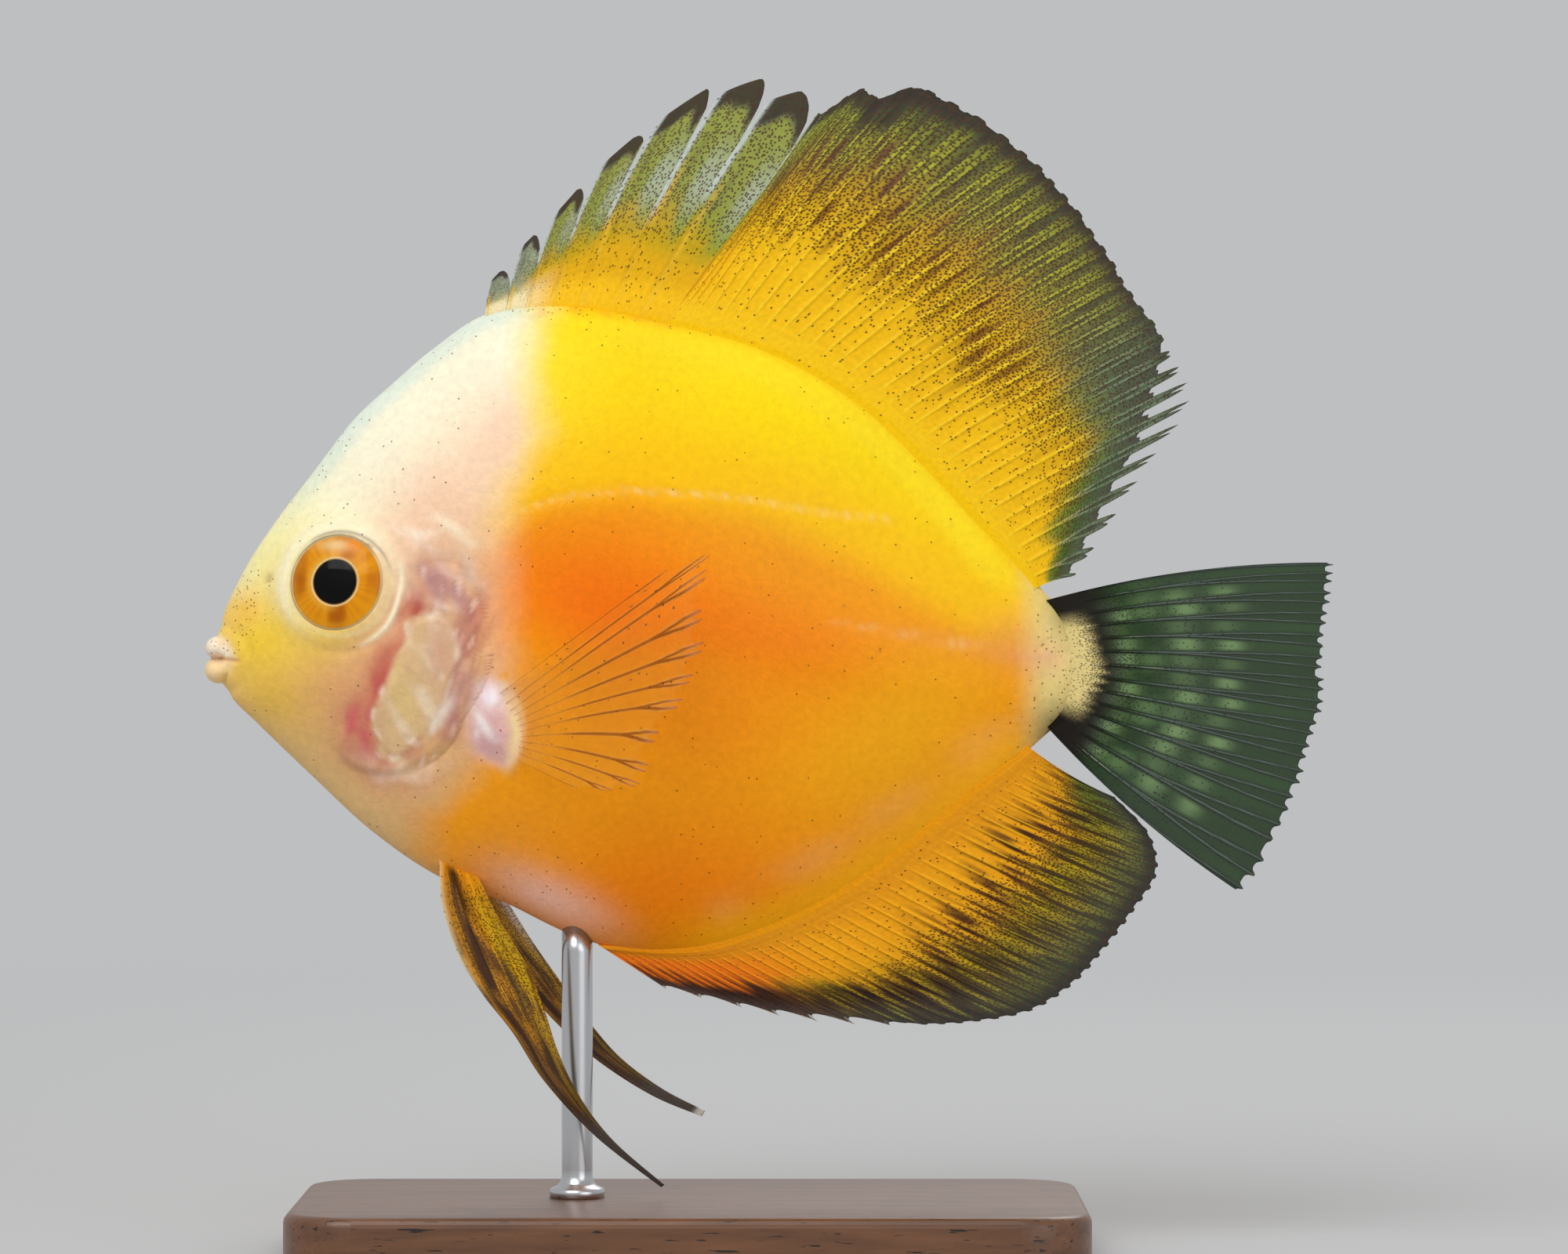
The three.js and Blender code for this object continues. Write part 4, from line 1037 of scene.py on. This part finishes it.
def dorsalPaint(at):
    s, u, edge, ridge = at["s"], at["u"], at["edge"], at["ridge"]
    fine, broad = streaks(at, 8, 18, 51), streaks(at, 2.4, 5, 52)
    front, rear = ramp(s, 0.68, -0.2), ramp(s, 0.72, 0.14)
    outline, crest = rayTones(ridge)
    paint = lay(
        "fdc602",
        (ramp(u + 0.05 * broad, 0.2, 0.3), "f0bc02"),
        (ramp(u + 0.07 * broad, 0.4, 0.28), "d8ae04"),
        (ramp(u + 0.08 * broad, 0.56, 0.24), "b8ac0e"),
        (ramp(u + 0.06 * broad, 0.72, 0.2) * front, "a4b41c"),
    )
    far = 0.24 * ramp(s, 0.86, 0.12)
    paint = lay(
        paint,
        (rear * ramp(u + far + 0.06 * broad, 0.42, 0.22), "76892c"),
        (rear * ramp(u + far, 0.58, 0.2), "3f6a2a"),
    )
    bandAt = mix(0.66, 0.48, ramp(s, 0.43, 0.35)) + 0.05 * np.sin(s * 40)
    band = hill(u, bandAt, 0.2) * ramp(s, 0.4, 0.05) * (1 - 0.6 * rear)
    lines = mix(smooth(fine * 1.6 + 0.15), 1, 0.35) * ramp(ridge, 0.55, -0.3)
    paint = lay(paint, (0.9 * band * lines, "6e3a02"))
    outer = ramp(u + 0.05 * broad, 0.56, 0.22)
    paint = lay(
        paint,
        (mix(0.55, 0.75, rear) * outer * smooth(streaks(at, 9, 11, 55) * 1.6 + 0.1) * (1 - crest), "403610"),
        (0.6 * ramp(s, 0.5, 0.1) * ramp(u, 0.62, 0.2) * ramp(ridge, 0.35, -0.2), "43451c"),
    )
    black = hill(s, 0.505, 0.05) * ramp(u, 0.76, 0.1)
    paint = lay(
        paint,
        (0.97 * black * smooth(streaks(at, 4.5, 6, 56) * 1.2 + 0.8), "160e08"),
        (0.9 * crest * ramp(u, 0.66, -0.25), "ffda20"),
        (0.9 * crest * (1 - rear) * (1 - 0.9 * black) * ramp(u, 0.6, 0.15), "bfc024"),
        (0.8 * hill(s, 0.5, 0.09) * window(u, 0.3, 0.86, 0.12) * smooth(fine * 2 - 0.5), "6a3602"),
        (0.8 * crest * rear * ramp(u + far, 0.5, 0.2), "869878"),
        (mix(0.2, 0.85, ramp(u, 0.45, 0.35)) * outline * ramp(u, 0.3, 0.2), "282012"),
    )
    margin = ramp(edge - 0.012 * fine, 0.06 + 0.03 * front, -0.05) * (1 - 0.5 * rear)
    paint = lay(
        paint,
        (ramp(u, 0.09, -0.08), "ffcc02"),
        (0.6 * ramp(edge - 0.03 * broad, 0.2, -0.18) * ramp(s, 0.44, 0.1), "33421a"),
        (0.9 * margin, "262219"),
    )
    cover = mix(0.99, 0.95, ramp(u, 0.45, 0.3))
    cover = mix(cover, 0.91, rear * ramp(u, 0.5, 0.25))
    cover = np.maximum(cover, 0.96 * np.maximum(margin, np.maximum(crest, outline)))
    pepper = 0.07 + 0.85 * ramp(u + 0.05 * broad, 0.24, 0.26) * (1 - 0.3 * rear) + 0.4 * band
    isLobe = at["ray"] < 0
    lobe, lobeCover, lobePepper = lobePaint(at)
    softFrom = len(dorsalValues["lobes"]) / (len(dorsalValues["pairs"]) - 1)
    join = ramp(s, softFrom, 0.014)[:, None]
    paint = np.where(isLobe[:, None], lobe, mix(lobe, paint, join))
    pepper = np.where(isLobe, lobePepper, pepper * (0.25 + 0.75 * join[:, 0]))
    return paint, np.where(isLobe, lobeCover, cover), pepper * ramp(u, -0.05, 0.2)


def makeDorsal():
    v = dorsalValues

    def halfThick(at):
        spine = np.maximum(hill(at["offset"], 0.0, 0.11), 0.8 * ramp(at["offset"], 0.94, 0.04))
        soft = branches(at["offset"], at["t"], 0.42, 0.15, mix(0.12, 0.08, at["t"]))
        return ridged(at, np.where(at["ray"] < 0, spine, soft))

    def bow(s):
        return np.interp(s, np.linspace(0, 1, len(v["bows"])), v["bows"])

    place = pairedFin(v["pairs"], bow, lambda x, h, t: lean(x, h, 48) * t)
    fin, at = finSheet("dorsal_fin_rayed", dorsalColumns(), v["rows"], place, halfThick)
    isLobe = at["ray"] < 0
    paintFin(fin, at, *dorsalPaint(at), np.where(isLobe, 4.6, 1.6), np.where(isLobe, 28, 36))
    return fin


# Anal fin: low spines laid back along the belly, then soft rays.
analValues = {
    "pairs": [
        ((-12.2, -40.6), (-3.3, -46.4)), ((-7.8, -41), (5.6, -48.6)), ((-2.8, -41.2), (14.5, -50.5)),
        ((2.8, -40.8), (23.4, -51.4)), ((8.3, -39.2), (31.7, -51.5)), ((13.4, -37.2), (40.1, -51.1)),
        ((18.9, -34.4), (48.4, -49.5)), ((24.5, -31.2), (54.5, -45.8)), ((30, -27.1), (59, -40.8)),
        ((35.6, -22.9), (63.1, -35.4)), ((40.6, -18.7), (66.4, -30)), ((45, -15.4), (65.3, -24.4)),
        ((48.8, -12.4), (60.4, -19.2)),
    ],
    "rays": 41,
    "perRay": 14,
    "rows": 50,
}


def analPaint(at):
    s, u, edge, ridge = at["s"], at["u"], at["edge"], at["ridge"]
    fine, broad = streaks(at, 8, 16, 61), streaks(at, 2.2, 5, 62)
    outline, crest = rayTones(ridge)
    low = ramp(ridge, 0.4, -0.25)  # the web between the rays
    front, rear = ramp(s, 0.34, -0.16), ramp(s, 0.84, 0.12)
    paint = lay(
        "f4a806",
        (ramp(s, 0.42, -0.22), "f07804"),
        (ramp(u + 0.07 * broad, 0.3, 0.25) * (1 - front), "e2aa06"),
        (ramp(u + 0.08 * broad, 0.46, 0.22) * (1 - front), "bca40c"),
        (ramp(u + 0.06 * broad, 0.7, 0.2) * (1 - front), "858c22"),
        (rear * ramp(u, 0.35, 0.25), "74882c"),
    )
    mid = mix(0.74, 0.37, ramp(s, 0.22, 0.6))
    band = hill(u, mid + 0.04 * np.sin(s * 30), mix(0.14, 0.2, s)) * ramp(s, 0.05, 0.2) * (1 - 0.4 * rear)
    paint = lay(
        paint,
        (0.95 * band * smooth(0.5 + fine * 1.2) * mix(0.6, 1, low), "461a04"),
        (0.6 * band * smooth(fine * 1.5 - 0.3), "200a04"),
    )
    outer = ramp(u + 0.05 * broad, mid + 0.02, 0.16) * (1 - front)
    paint = lay(
        paint,
        (outer * mix(0.35, 0.92, low) * smooth(streaks(at, 9, 12, 63) * 1.3 + 0.55), "1e1c0c"),
        (0.75 * outer * crest * smooth(0.4 + streaks(at, 7, 12, 64)) * ramp(u, 0.95, -0.1), "a09a20"),
    )
    lower = hill(s, 0.38, 0.21) * ramp(u + 0.08 * broad, 0.42, 0.2)
    paint = lay(paint, (0.93 * lower * smooth(0.95 + fine), "120804"))
    stripes = front * ramp(u, 0.22, 0.22) * smooth(np.sin(at["ray"] * math.pi) ** 2 * 2 - 0.6 + 0.6 * broad)
    paint = lay(
        paint,
        (0.85 * stripes, "3c1806"),
        (0.9 * front * ramp(u + 0.1 * broad, mix(0.56, 0.36, smooth(s / 0.3)), 0.18), "1e0f0c"),
        (0.85 * crest * ramp(u, 0.5, -0.2), "ffc81c"),
        (0.75 * outline * ramp(u, 0.35, 0.25), "1a1408"),
    )
    margin = ramp(edge - 0.012 * fine, 0.08, -0.05) * (1 - front)
    paint = lay(
        paint,
        (0.75 * ramp(edge - 0.03 * broad, 0.24, -0.22) * ramp(s, 0.4, 0.2), "2b3c12"),
        (0.88 * margin, "161e0c"),
        (0.85 * front * ramp(edge, 0.035, -0.02) * smooth(np.cos(at["ray"] * math.pi) * 2), "e8e2d4"),
        # the root painted the body's orange, a little darker: partly the body's own colour, partly painted
        # shade matching the shaded belly rim beside it
        (0.75 * ramp(u, 0.2, -0.16), "f29c0a"),
    )
    cover = mix(0.99, 0.95, ramp(u, 0.6, 0.3))
    pepper = 0.05 + 0.85 * ramp(u + 0.05 * broad, mix(0.5, 0.28, ramp(s, 0.2, 0.4)), 0.2)
    return paint, cover, pepper * ramp(u, -0.02, 0.15)


def makeAnal():
    v = analValues
    s, ray, offset = rayGrid(0, 1, v["rays"], v["perRay"])
    front = ramp(s, 0.36, -0.12)
    scallop = np.abs(np.sin(ray * math.pi / 2)) ** 0.8
    reach = 1 - front * 0.13 * scallop - (1 - front) * 0.012 * ramp(np.abs(offset), 0.1, 0.2)

    def halfThick(at):
        return ridged(at, branches(at["offset"], at["t"], 0.45, 0.15, mix(0.12, 0.08, at["t"])), 0.95)

    def sway(x, h, t):
        return lean(x, h, -40) * t * 0.6 + 1.8 * ramp(x, 48, 7)

    place = pairedFin(v["pairs"], lambda s: -0.5 * smooth(s * 3), sway)
    fin, at = finSheet("anal_fin_rayed", (s, ray, offset, reach), v["rows"], place, halfThick)
    paintFin(fin, at, *analPaint(at), 1.5, 30)
    return fin


# Tail fin: a fan of forked rays, its lower lobe spread.
caudalValues = {
    "pairs": [
        ((52.4, 8.8), (91.1, 14.1)), ((54.2, 5.6), (90.4, 8.2)), ((55.6, 1.9), (89.6, 1)),
        ((56, -2), (89.2, -6.2)), ((55, -5.4), (87.2, -13.8)), ((53.3, -7.9), (84, -22.6)),
        ((51.6, -9.6), (78.2, -32.8)),
    ],
    "rays": 15,
    "perRay": 28,
    "rows": 66,
    "forkAt": 0.3,
    "spread": 0.22,
}


def caudalFork(t):
    return caudalValues["spread"] * ramp(t, caudalValues["forkAt"], 0.7)


def caudalPaint(at):
    s, u, ridge = at["s"], at["u"], at["ridge"]
    aside = np.abs(at["offset"]) - caudalFork(at["t"])  # how far outside the fork's two branches
    outline, crest = rayTones(ridge)
    fine, broad = streaks(at, 9, 20, 65), streaks(at, 2.2, 5, 66)
    cell = np.round(at["ray"] + 0.5)
    chance = 0.35 + 0.65 * smooth(np.sin(cell * 2.4 + u * 4) + 0.5)
    along = u + 0.02 * np.sin(cell * 3.7)
    rows = np.maximum(hill(along, 0.16, 0.05), np.maximum(hill(along, 0.42, 0.055), hill(along, 0.61, 0.05)))
    inner = ramp(aside, 0.06, 0.2)
    rows = inner * rows * chance * ramp(s, 0.06, 0.08) * ramp(s, 0.96, -0.1)
    rows = np.maximum(rows, 0.5 * inner * hill(u, 0.28, 0.06) * smooth(broad + 0.3))
    edges = np.maximum(ramp(s, 0.03, -0.02), ramp(s, 0.97, 0.02))
    corner = np.maximum(hill(s, -0.04, 0.26), 1.1 * hill(s, 1.06, 0.4))
    root = ramp(u - 0.02 * fine - 0.02 * hill(s, 0.42, 0.25), 0.07, -0.08)
    root *= ramp(s, 0.1, 0.14) * ramp(s, 0.84, -0.2)
    paint = lay(
        "1f3a14",
        (0.6 * ramp(aside, 0.08, 0.1) * ramp(u, 0.1, 0.2) * smooth(0.5 + 0.5 * broad), "2c5022"),
        (0.55 * rows, "7eae4c"),
        (0.7 * edges, "1c2820"),
        (0.85 * ramp(u, 0.2, -0.14), "1e1c10"),
        (0.97 * ramp(u - 0.04 * fine, 0.2, -0.16) * corner, "120904"),
        (0.95 * outline * ramp(u, 0.02, 0.12), "080c08"),
        (0.7 * crest * ramp(u, 0.12, 0.2), "5c6e60"),
        (0.7 * crest * ramp(u, 0.4, -0.2) * ramp(u, 0.08, 0.1) * smooth(fine), "a4b094"),
        (root, "ead48c"),
        (0.6 * root * crest * ramp(u, 0.01, 0.02), "f4ecc8"),
    )
    cover = np.maximum(mix(0.99, 0.945, ramp(u, 0.12, 0.35)) - 0.1 * rows, 0.96 * np.maximum(outline, edges))
    pepper = 0.95 * ramp(u - 0.05 * broad, 0.24, -0.12) * ramp(u, -0.03, 0.09) + 0.2 * ramp(u, 0.75, -0.4)
    return paint, cover, pepper


def makeCaudal():
    v = caudalValues
    s, ray, offset = rayGrid(0, 1, v["rays"], v["perRay"])
    lengths = np.random.default_rng(67).uniform(-1, 1, 2 * v["rays"])[np.round(ray * 2).astype(int)]
    reach = 1 - 0.022 * (1 - forked(offset, v["spread"], 0.09)) + 0.008 * lengths

    def halfThick(at):
        return ridged(at, forked(at["offset"], caudalFork(at["t"]), mix(0.09, 0.045, at["t"])))

    def sway(x, h, t):
        return -0.9 * ramp(x, 50, 7) - 0.0018 * (x - 50) ** 2

    place = pairedFin(v["pairs"], lambda s: mix(1.6, -1.3, s), sway)
    fin, at = finSheet("caudal_fin_rayed", (s, ray, offset, reach), v["rows"], place, halfThick)
    paintFin(fin, at, *caudalPaint(at), 2.4, 38)
    return fin


# Pectoral fins: clear webs with brown forked rays, standing off the flank.
pectoralValues = {
    "pairs": [
        ((-25.9, -3.9), (-3.4, 12.7)), ((-24.6, -5.1), (2.8, 15)), ((-23.8, -6), (2.2, 12.2)),
        ((-23.2, -6.8), (2.4, 6.9)), ((-22.8, -7.7), (2.2, 2.3)), ((-22.5, -8.6), (0.9, -2.1)),
        ((-22.3, -9.5), (-1.2, -5.6)), ((-22.2, -10.4), (-4.1, -10.3)), ((-22.3, -11.3), (-5.5, -14.7)),
        ((-22.5, -12.2), (-6.9, -17)), ((-22.8, -13.1), (-10.9, -17.8)), ((-23.3, -13.9), (-15.6, -17.4)),
    ],
    "rootY": 11.2,
    "stand": 9.5,  # how far the tips stand off the flank
    "fork": 0.13,
    "perRay": 18,
    "rows": 46,
}


def makePectoral(side, word):
    v = pectoralValues
    s, ray, offset = rayGrid(0, 1, len(v["pairs"]), v["perRay"])
    lengths = np.random.default_rng(68).uniform(-1, 1, 2 * len(v["pairs"]))[np.round(ray * 2).astype(int)]
    reach = 1 - mix(0.05, 0.09, s) * (1 - forked(offset, v["fork"], 0.09)) + 0.015 * lengths
    flat = pairedFin(v["pairs"], lambda s: 0.55 * np.sin(s * math.pi), lambda x, h, t: 0 * x)

    def place(s, t):
        x, _, h = flat(s, t)
        return x, side * (v["rootY"] + v["stand"] * t**0.85), h

    def halfThick(at):
        ridge = forked(at["offset"], v["fork"] * ramp(at["t"], 0.72, 0.2), mix(0.1, 0.07, at["t"]))
        return mix(mix(0.22, 0.14, at["t"]), mix(0.42, 0.24, at["t"]), ridge), ridge

    fin, at = finSheet(f"pectoral_fin_{word}_rayed", (s, ray, offset, reach), v["rows"], place, halfThick)
    t, ridge = at["t"], at["ridge"]
    strength = ramp(t, 0.2, 0.25)
    paint = lay(
        "f8c060",
        (smooth(ridge * 1.6 - 0.2) * mix(0.6, 1, strength), "a85a10"),
        (0.6 * smooth(ridge * 2 - 1.2) * strength, "8a4208"),
        (0.6 * ramp(t, 0.88, 0.08) * ridge, "c98a68"),
    )
    cover = 0.07 + 0.12 * ramp(t, 0.3, -0.2) + mix(0.4, 0.84, strength) * smooth(ridge * 1.5 - 0.15)
    paintFin(fin, at, paint, cover * (1 - 0.3 * ramp(t, 0.92, 0.06)), np.full(len(t), 0.01), 1.9, 27)
    return fin


# Pelvic fins: long blades drawn out to a point.
pelvicValues = {
    "left": {
        "front": [(-35.4, -27.6), (-34.9, -34), (-32.6, -41), (-29.2, -46.6), (-24.8, -52.2), (-20.4, -59),
                  (-13.2, -66.8), (-4, -74)],
        "rear": [(-30.4, -29.2), (-26.8, -36.4), (-22.8, -43), (-20.4, -49), (-18.4, -55), (-15.4, -61.2),
                 (-10.7, -67.4), (-3.5, -73.7)],
        "y": [-2.9, -4.6, -6, -6.8, -7, -6.8, -6.4, -5.8],
    },
    "right": {
        "front": [(-35, -27.4), (-32.4, -35), (-28.6, -40.6), (-24.4, -45.8), (-19.4, -51.4), (-13.4, -56.9),
                  (-5.6, -61.9), (1.6, -64.9)],
        "rear": [(-29.4, -29), (-25.6, -35), (-22.4, -40.2), (-18.8, -45.4), (-15, -50.8), (-10.2, -56.4),
                 (-4, -61), (2.1, -64.1)],
        "y": [2.9, 4.6, 5.8, 6.4, 6.6, 6.4, 6, 5.6],
    },
    "rays": 6,
    "perRay": 12,
    "rows": 130,
}


def pelvicPaint(at, word):
    s, t = at["s"], at["t"]
    fine = streaks(at, 6, 30, 71)
    outline, crest = rayTones(at["ridge"])
    paint = lay(
        "c8860a",
        (ramp(t, 0.13, -0.1), "f39a0c"),
        (0.7 * ramp(s + 0.1 * fine, 0.55, 0.2) * ramp(t, 0.08, 0.2), "b8960e"),
        (0.75 * ramp(s, 0.5, 0.3) * hill(t, 0.2, 0.14), "ddb41c"),
        (0.7 * crest * ramp(t, 0.6, -0.2), "efac12"),
    )
    rearStripe = 0.85 * hill(s, 0.66, 0.1) * ramp(t, 0.2, 0.15)
    dark = np.maximum(hill(s, 0.3 + 0.05 * np.sin(t * 9), 0.17), rearStripe)
    paint = lay(
        paint,
        (np.minimum(dark * smooth(t / 0.05) * smooth(0.95 + fine), 0.95), "2e1204"),
        (0.75 * smooth(fine * 1.4 - 0.1) * ramp(t, 0.12, 0.2), "4a2608"),
        (0.8 * hill(s, 0.0, 0.06) * ramp(t, 0.5, -0.2), "e6cf98"),
        (0.5 * outline * ramp(t, 0.1, 0.2), "2a1406"),
        (0.7 * ramp(t, 0.5, 0.25), "3e2a1c"),
        (0.85 * ramp(t, 0.76, 0.1), "544a44"),
    )
    if word == "right":
        paint = lay(paint, (ramp(t, 0.955, 0.02), "d8d4c8"))
    cover = np.full(len(t), 0.98) - 0.3 * ramp(s, 0.75, 0.2) * hill(t, 0.16, 0.12)
    return paint, cover, 0.1 + 0.6 * ramp(t, 0.03, 0.1) * ramp(t, 0.7, -0.2) * ramp(s, 0.1, 0.1)


def makePelvic(word):
    v, blade = pelvicValues, pelvicValues[word]
    s, ray, offset = rayGrid(0, 1, v["rays"], v["perRay"])
    out = np.column_stack([np.zeros(len(blade["y"])), blade["y"]])

    def place(s, t):
        p = mix(openCurve(blade["front"], t), openCurve(blade["rear"], t), s[:, None])
        return p[:, 0], openCurve(out, t)[:, 1], p[:, 1]

    def halfThick(at):
        ridge = branches(at["offset"], at["t"], 0.2, 0.16, 0.13)
        edge = smooth(np.minimum(at["s"], 1 - at["s"]) / 0.06)
        return mix(mix(0.34, 0.2, at["t"]), mix(0.7, 0.3, at["t"]), ridge) * mix(0.6, 1, edge), ridge

    columns = (s, ray, offset, np.ones_like(s))
    fin, at = finSheet(f"pelvic_fin_{word}_rayed", columns, v["rows"], place, halfThick)
    paintFin(fin, at, *pelvicPaint(at, word), 1.3, 56)
    return fin


finFinish = finMaterial("translucent yellow fin", "4a240a")
tailFinish = finMaterial("smoky tail fin", "1c140e")
finishPiece(makeDorsal(), finFinish, "fin_web", "dorsal_fin")
finishPiece(makeAnal(), finFinish, "fin_web", "anal_fin")
finishPiece(makeCaudal(), tailFinish, "tail_web", "caudal_fin")
for side, word in ((-1, "left"), (1, "right")):
    finishPiece(makePectoral(side, word), finFinish, "fin_web", f"pectoral_fin_{word}")
    finishPiece(makePelvic(word), finFinish, "fin_web", f"pelvic_fin_{word}")


# Stand: a walnut base with eased edges, and a steel rod in a small collar that meets the belly.
standValues = {
    "length": 112,
    "depth": 64,
    "height": 8,
    "corner": 10,
    "bevel": 1.4,
    "cornerSteps": 14,
    "bevelSteps": 4,
    "rodX": -16,
    "rodRadius": 2.2,
    "rodTop": 60.0,  # until its end is laid against the belly
    "capRadius": 2.0,
    "shaft": (12, 43, 8),  # from, to and rings
    "belly": (-44, -30, 1401),  # the heights that are searched for the belly
    "collar": ((3.9, 8.0), (3.9, 9.0), (3.7, 9.4), (2.9, 9.7), (2.4, 10.2), (2.2, 11.2)),
}


def woodMaterial():
    material, tree, shader = newMaterial("oiled walnut")
    place = objectPlace(tree, 40.0, 420.0, 420.0)
    fibres = noise(tree, place, 1.0, Detail=6.0, Roughness=0.65, Distortion=0.4)
    pores = calculate(tree, "GREATER_THAN", noise(tree, place, 5.0, Detail=2.0), 0.66)
    wire(tree, shader, {
        "Base Color": blendColour(tree, pores, blendColour(tree, fibres, "2a160c", "8a5a38"), "1e1009"),
        "Normal": bumped(tree, fibres, 0.15, 0.0002),
        "Roughness": 0.4,
        "Coat Weight": 0.25,
        "Coat Roughness": 0.25,
    })
    return material


def steelMaterial():
    material, tree, shader = newMaterial("brushed steel")
    brush = noise(tree, objectPlace(tree, 9000.0, 9000.0, 120.0), 1.0, Detail=2.0)
    wire(tree, shader, {
        "Base Color": (0.62, 0.63, 0.65, 1),
        "Normal": bumped(tree, brush, 0.08, 0.00005),
        "Metallic": 1.0,
        "Roughness": 0.28,
    })
    return material


def makeBase():
    v = standValues
    bm = bmesh.new()
    bmesh.ops.create_cube(bm, size=1.0)
    bmesh.ops.scale(bm, vec=(v["length"], v["depth"], v["height"]), verts=bm.verts)
    bmesh.ops.translate(bm, vec=(0, 0, v["height"] / 2), verts=bm.verts)
    upright = [e for e in bm.edges if abs(e.verts[0].co.z - e.verts[1].co.z) > 1]
    corners = {"offset": v["corner"], "segments": v["cornerSteps"]}
    bmesh.ops.bevel(bm, geom=upright, profile=0.5, affect="EDGES", **corners)
    level = [e for e in bm.edges if abs(e.verts[0].co.z - e.verts[1].co.z) < 0.1 and e.calc_face_angle(0) > 1]
    bmesh.ops.bevel(bm, geom=level, offset=v["bevel"], segments=v["bevelSteps"], profile=0.5, affect="EDGES")
    bmesh.ops.scale(bm, vec=(mm, mm, mm), verts=bm.verts)
    broad = [f.calc_area() > 30 * mm * mm for f in bm.faces]
    base = meshFrom(bm, "stand_base_walnut")
    finishPiece(base, woodMaterial(), "base_wood", "stand_base")
    base.data.polygons.foreach_set("use_smooth", [not wide for wide in broad])


def bellyHeight(x, y):  # the height of the skin's underside over a place on the stand
    h = np.linspace(*standValues["belly"])
    within = flankY(np.full_like(h, x), h) > abs(y)
    return h[within][0]


def makeRod():
    v = standValues
    top, cap = v["rodTop"], v["capRadius"]
    shaft = [(v["rodRadius"], z) for z in np.linspace(*v["shaft"])]
    profile = [(0, v["height"]), *v["collar"], *shaft, (cap, top), (0, top)]
    rod = turned(profile, "stand_rod_steel", 64)
    co = vertexPlaces(rod)
    x, y, z = v["rodX"] + co[:, 0], co[:, 2], co[:, 1]
    atTop = z > top - 1
    x[atTop] = v["rodX"] + co[atTop, 0] * v["rodRadius"] / cap
    y[atTop] = co[atTop, 2] * v["rodRadius"] / cap
    z[atTop] = [mouthHeight + bellyHeight(px, py) for px, py in zip(x[atTop], y[atTop])]
    moveVertices(rod, np.column_stack([x, y, z]) * mm)
    finishPiece(rod, steelMaterial(), "rod_steel", "stand_rod")


makeBase()
makeRod()


# Camera, floor and light.
viewValues = {
    "frameWidth": 222.54,  # millimetres across the picture at the fish
    "sensor": 36,
    "distance": 900.0,
    "aimX": 13.35,
    "aimZ": 89.0,
    "backdrop": (0.86, 0.87, 0.88),
    "glow": 0.6,
    "fadeFrom": 0.15,  # metres from the stand where the floor starts to melt into the backdrop
    "fadeTo": 0.9,
    "floorHalf": 6.0,
    "lampAim": (0.0, 0.0, 0.09),
    "lamps": (  # name, place in metres, size, watts
        ("keyLight", (-0.35, -0.85, 0.9), 0.8, 8.0),
        ("fillLight", (0.7, -0.9, 0.25), 0.8, 2.4),
        ("rimLight", (0.25, 0.7, 0.8), 0.6, 4.0),
    ),
}


def makeStudio():
    v = viewValues
    camera = bpy.data.objects.new("camera", bpy.data.cameras.new("camera"))
    bpy.context.scene.collection.objects.link(camera)
    camera.location = (v["aimX"] * mm, -v["distance"] * mm, v["aimZ"] * mm)
    camera.rotation_euler = (math.pi / 2, 0, 0)
    camera.data.sensor_width = v["sensor"]
    camera.data.lens = v["sensor"] * v["distance"] / v["frameWidth"]
    camera.data.clip_start = 0.01
    bpy.context.scene.camera = camera
    bm = bmesh.new()
    bmesh.ops.create_grid(bm, x_segments=2, y_segments=2, size=v["floorHalf"])
    floor = meshFrom(bm, "floor")
    finish, tree, shader = newMaterial("pale floor")
    wire(tree, shader, {"Base Color": (0.5, 0.5, 0.5, 1), "Roughness": 0.9, "Specular IOR Level": 0.1})
    away = addNode(tree, "ShaderNodeVectorMath", {0: objectPlace(tree)}, operation="LENGTH").outputs["Value"]
    limits = {"Value": away, "From Min": v["fadeFrom"], "From Max": v["fadeTo"]}
    fade = addNode(tree, "ShaderNodeMapRange", limits, interpolation_type="SMOOTHSTEP")
    colour = (*v["backdrop"], 1)
    backdrop = addNode(tree, "ShaderNodeEmission", {"Color": colour, "Strength": v["glow"]})
    fadeBetween(tree, fade, shader, backdrop)
    floor.data.materials.append(finish)
    world = bpy.data.worlds.new("studio")
    bpy.context.scene.world = world
    world.use_nodes = True
    wire(world.node_tree, world.node_tree.nodes["Background"], {"Color": colour, "Strength": v["glow"]})
    for name, place, size, power in v["lamps"]:
        lamp = bpy.data.lights.new(name, "AREA")
        lamp.size = size
        lamp.energy = power
        light = bpy.data.objects.new(name, lamp)
        light.location = place
        ax, ay, az = np.array(v["lampAim"]) - np.array(place)
        light.rotation_euler = (math.atan2(math.hypot(ax, ay), -az), 0, math.atan2(-ax, ay))
        bpy.context.scene.collection.objects.link(light)
    bpy.context.scene.view_settings.view_transform = "Standard"


makeStudio()
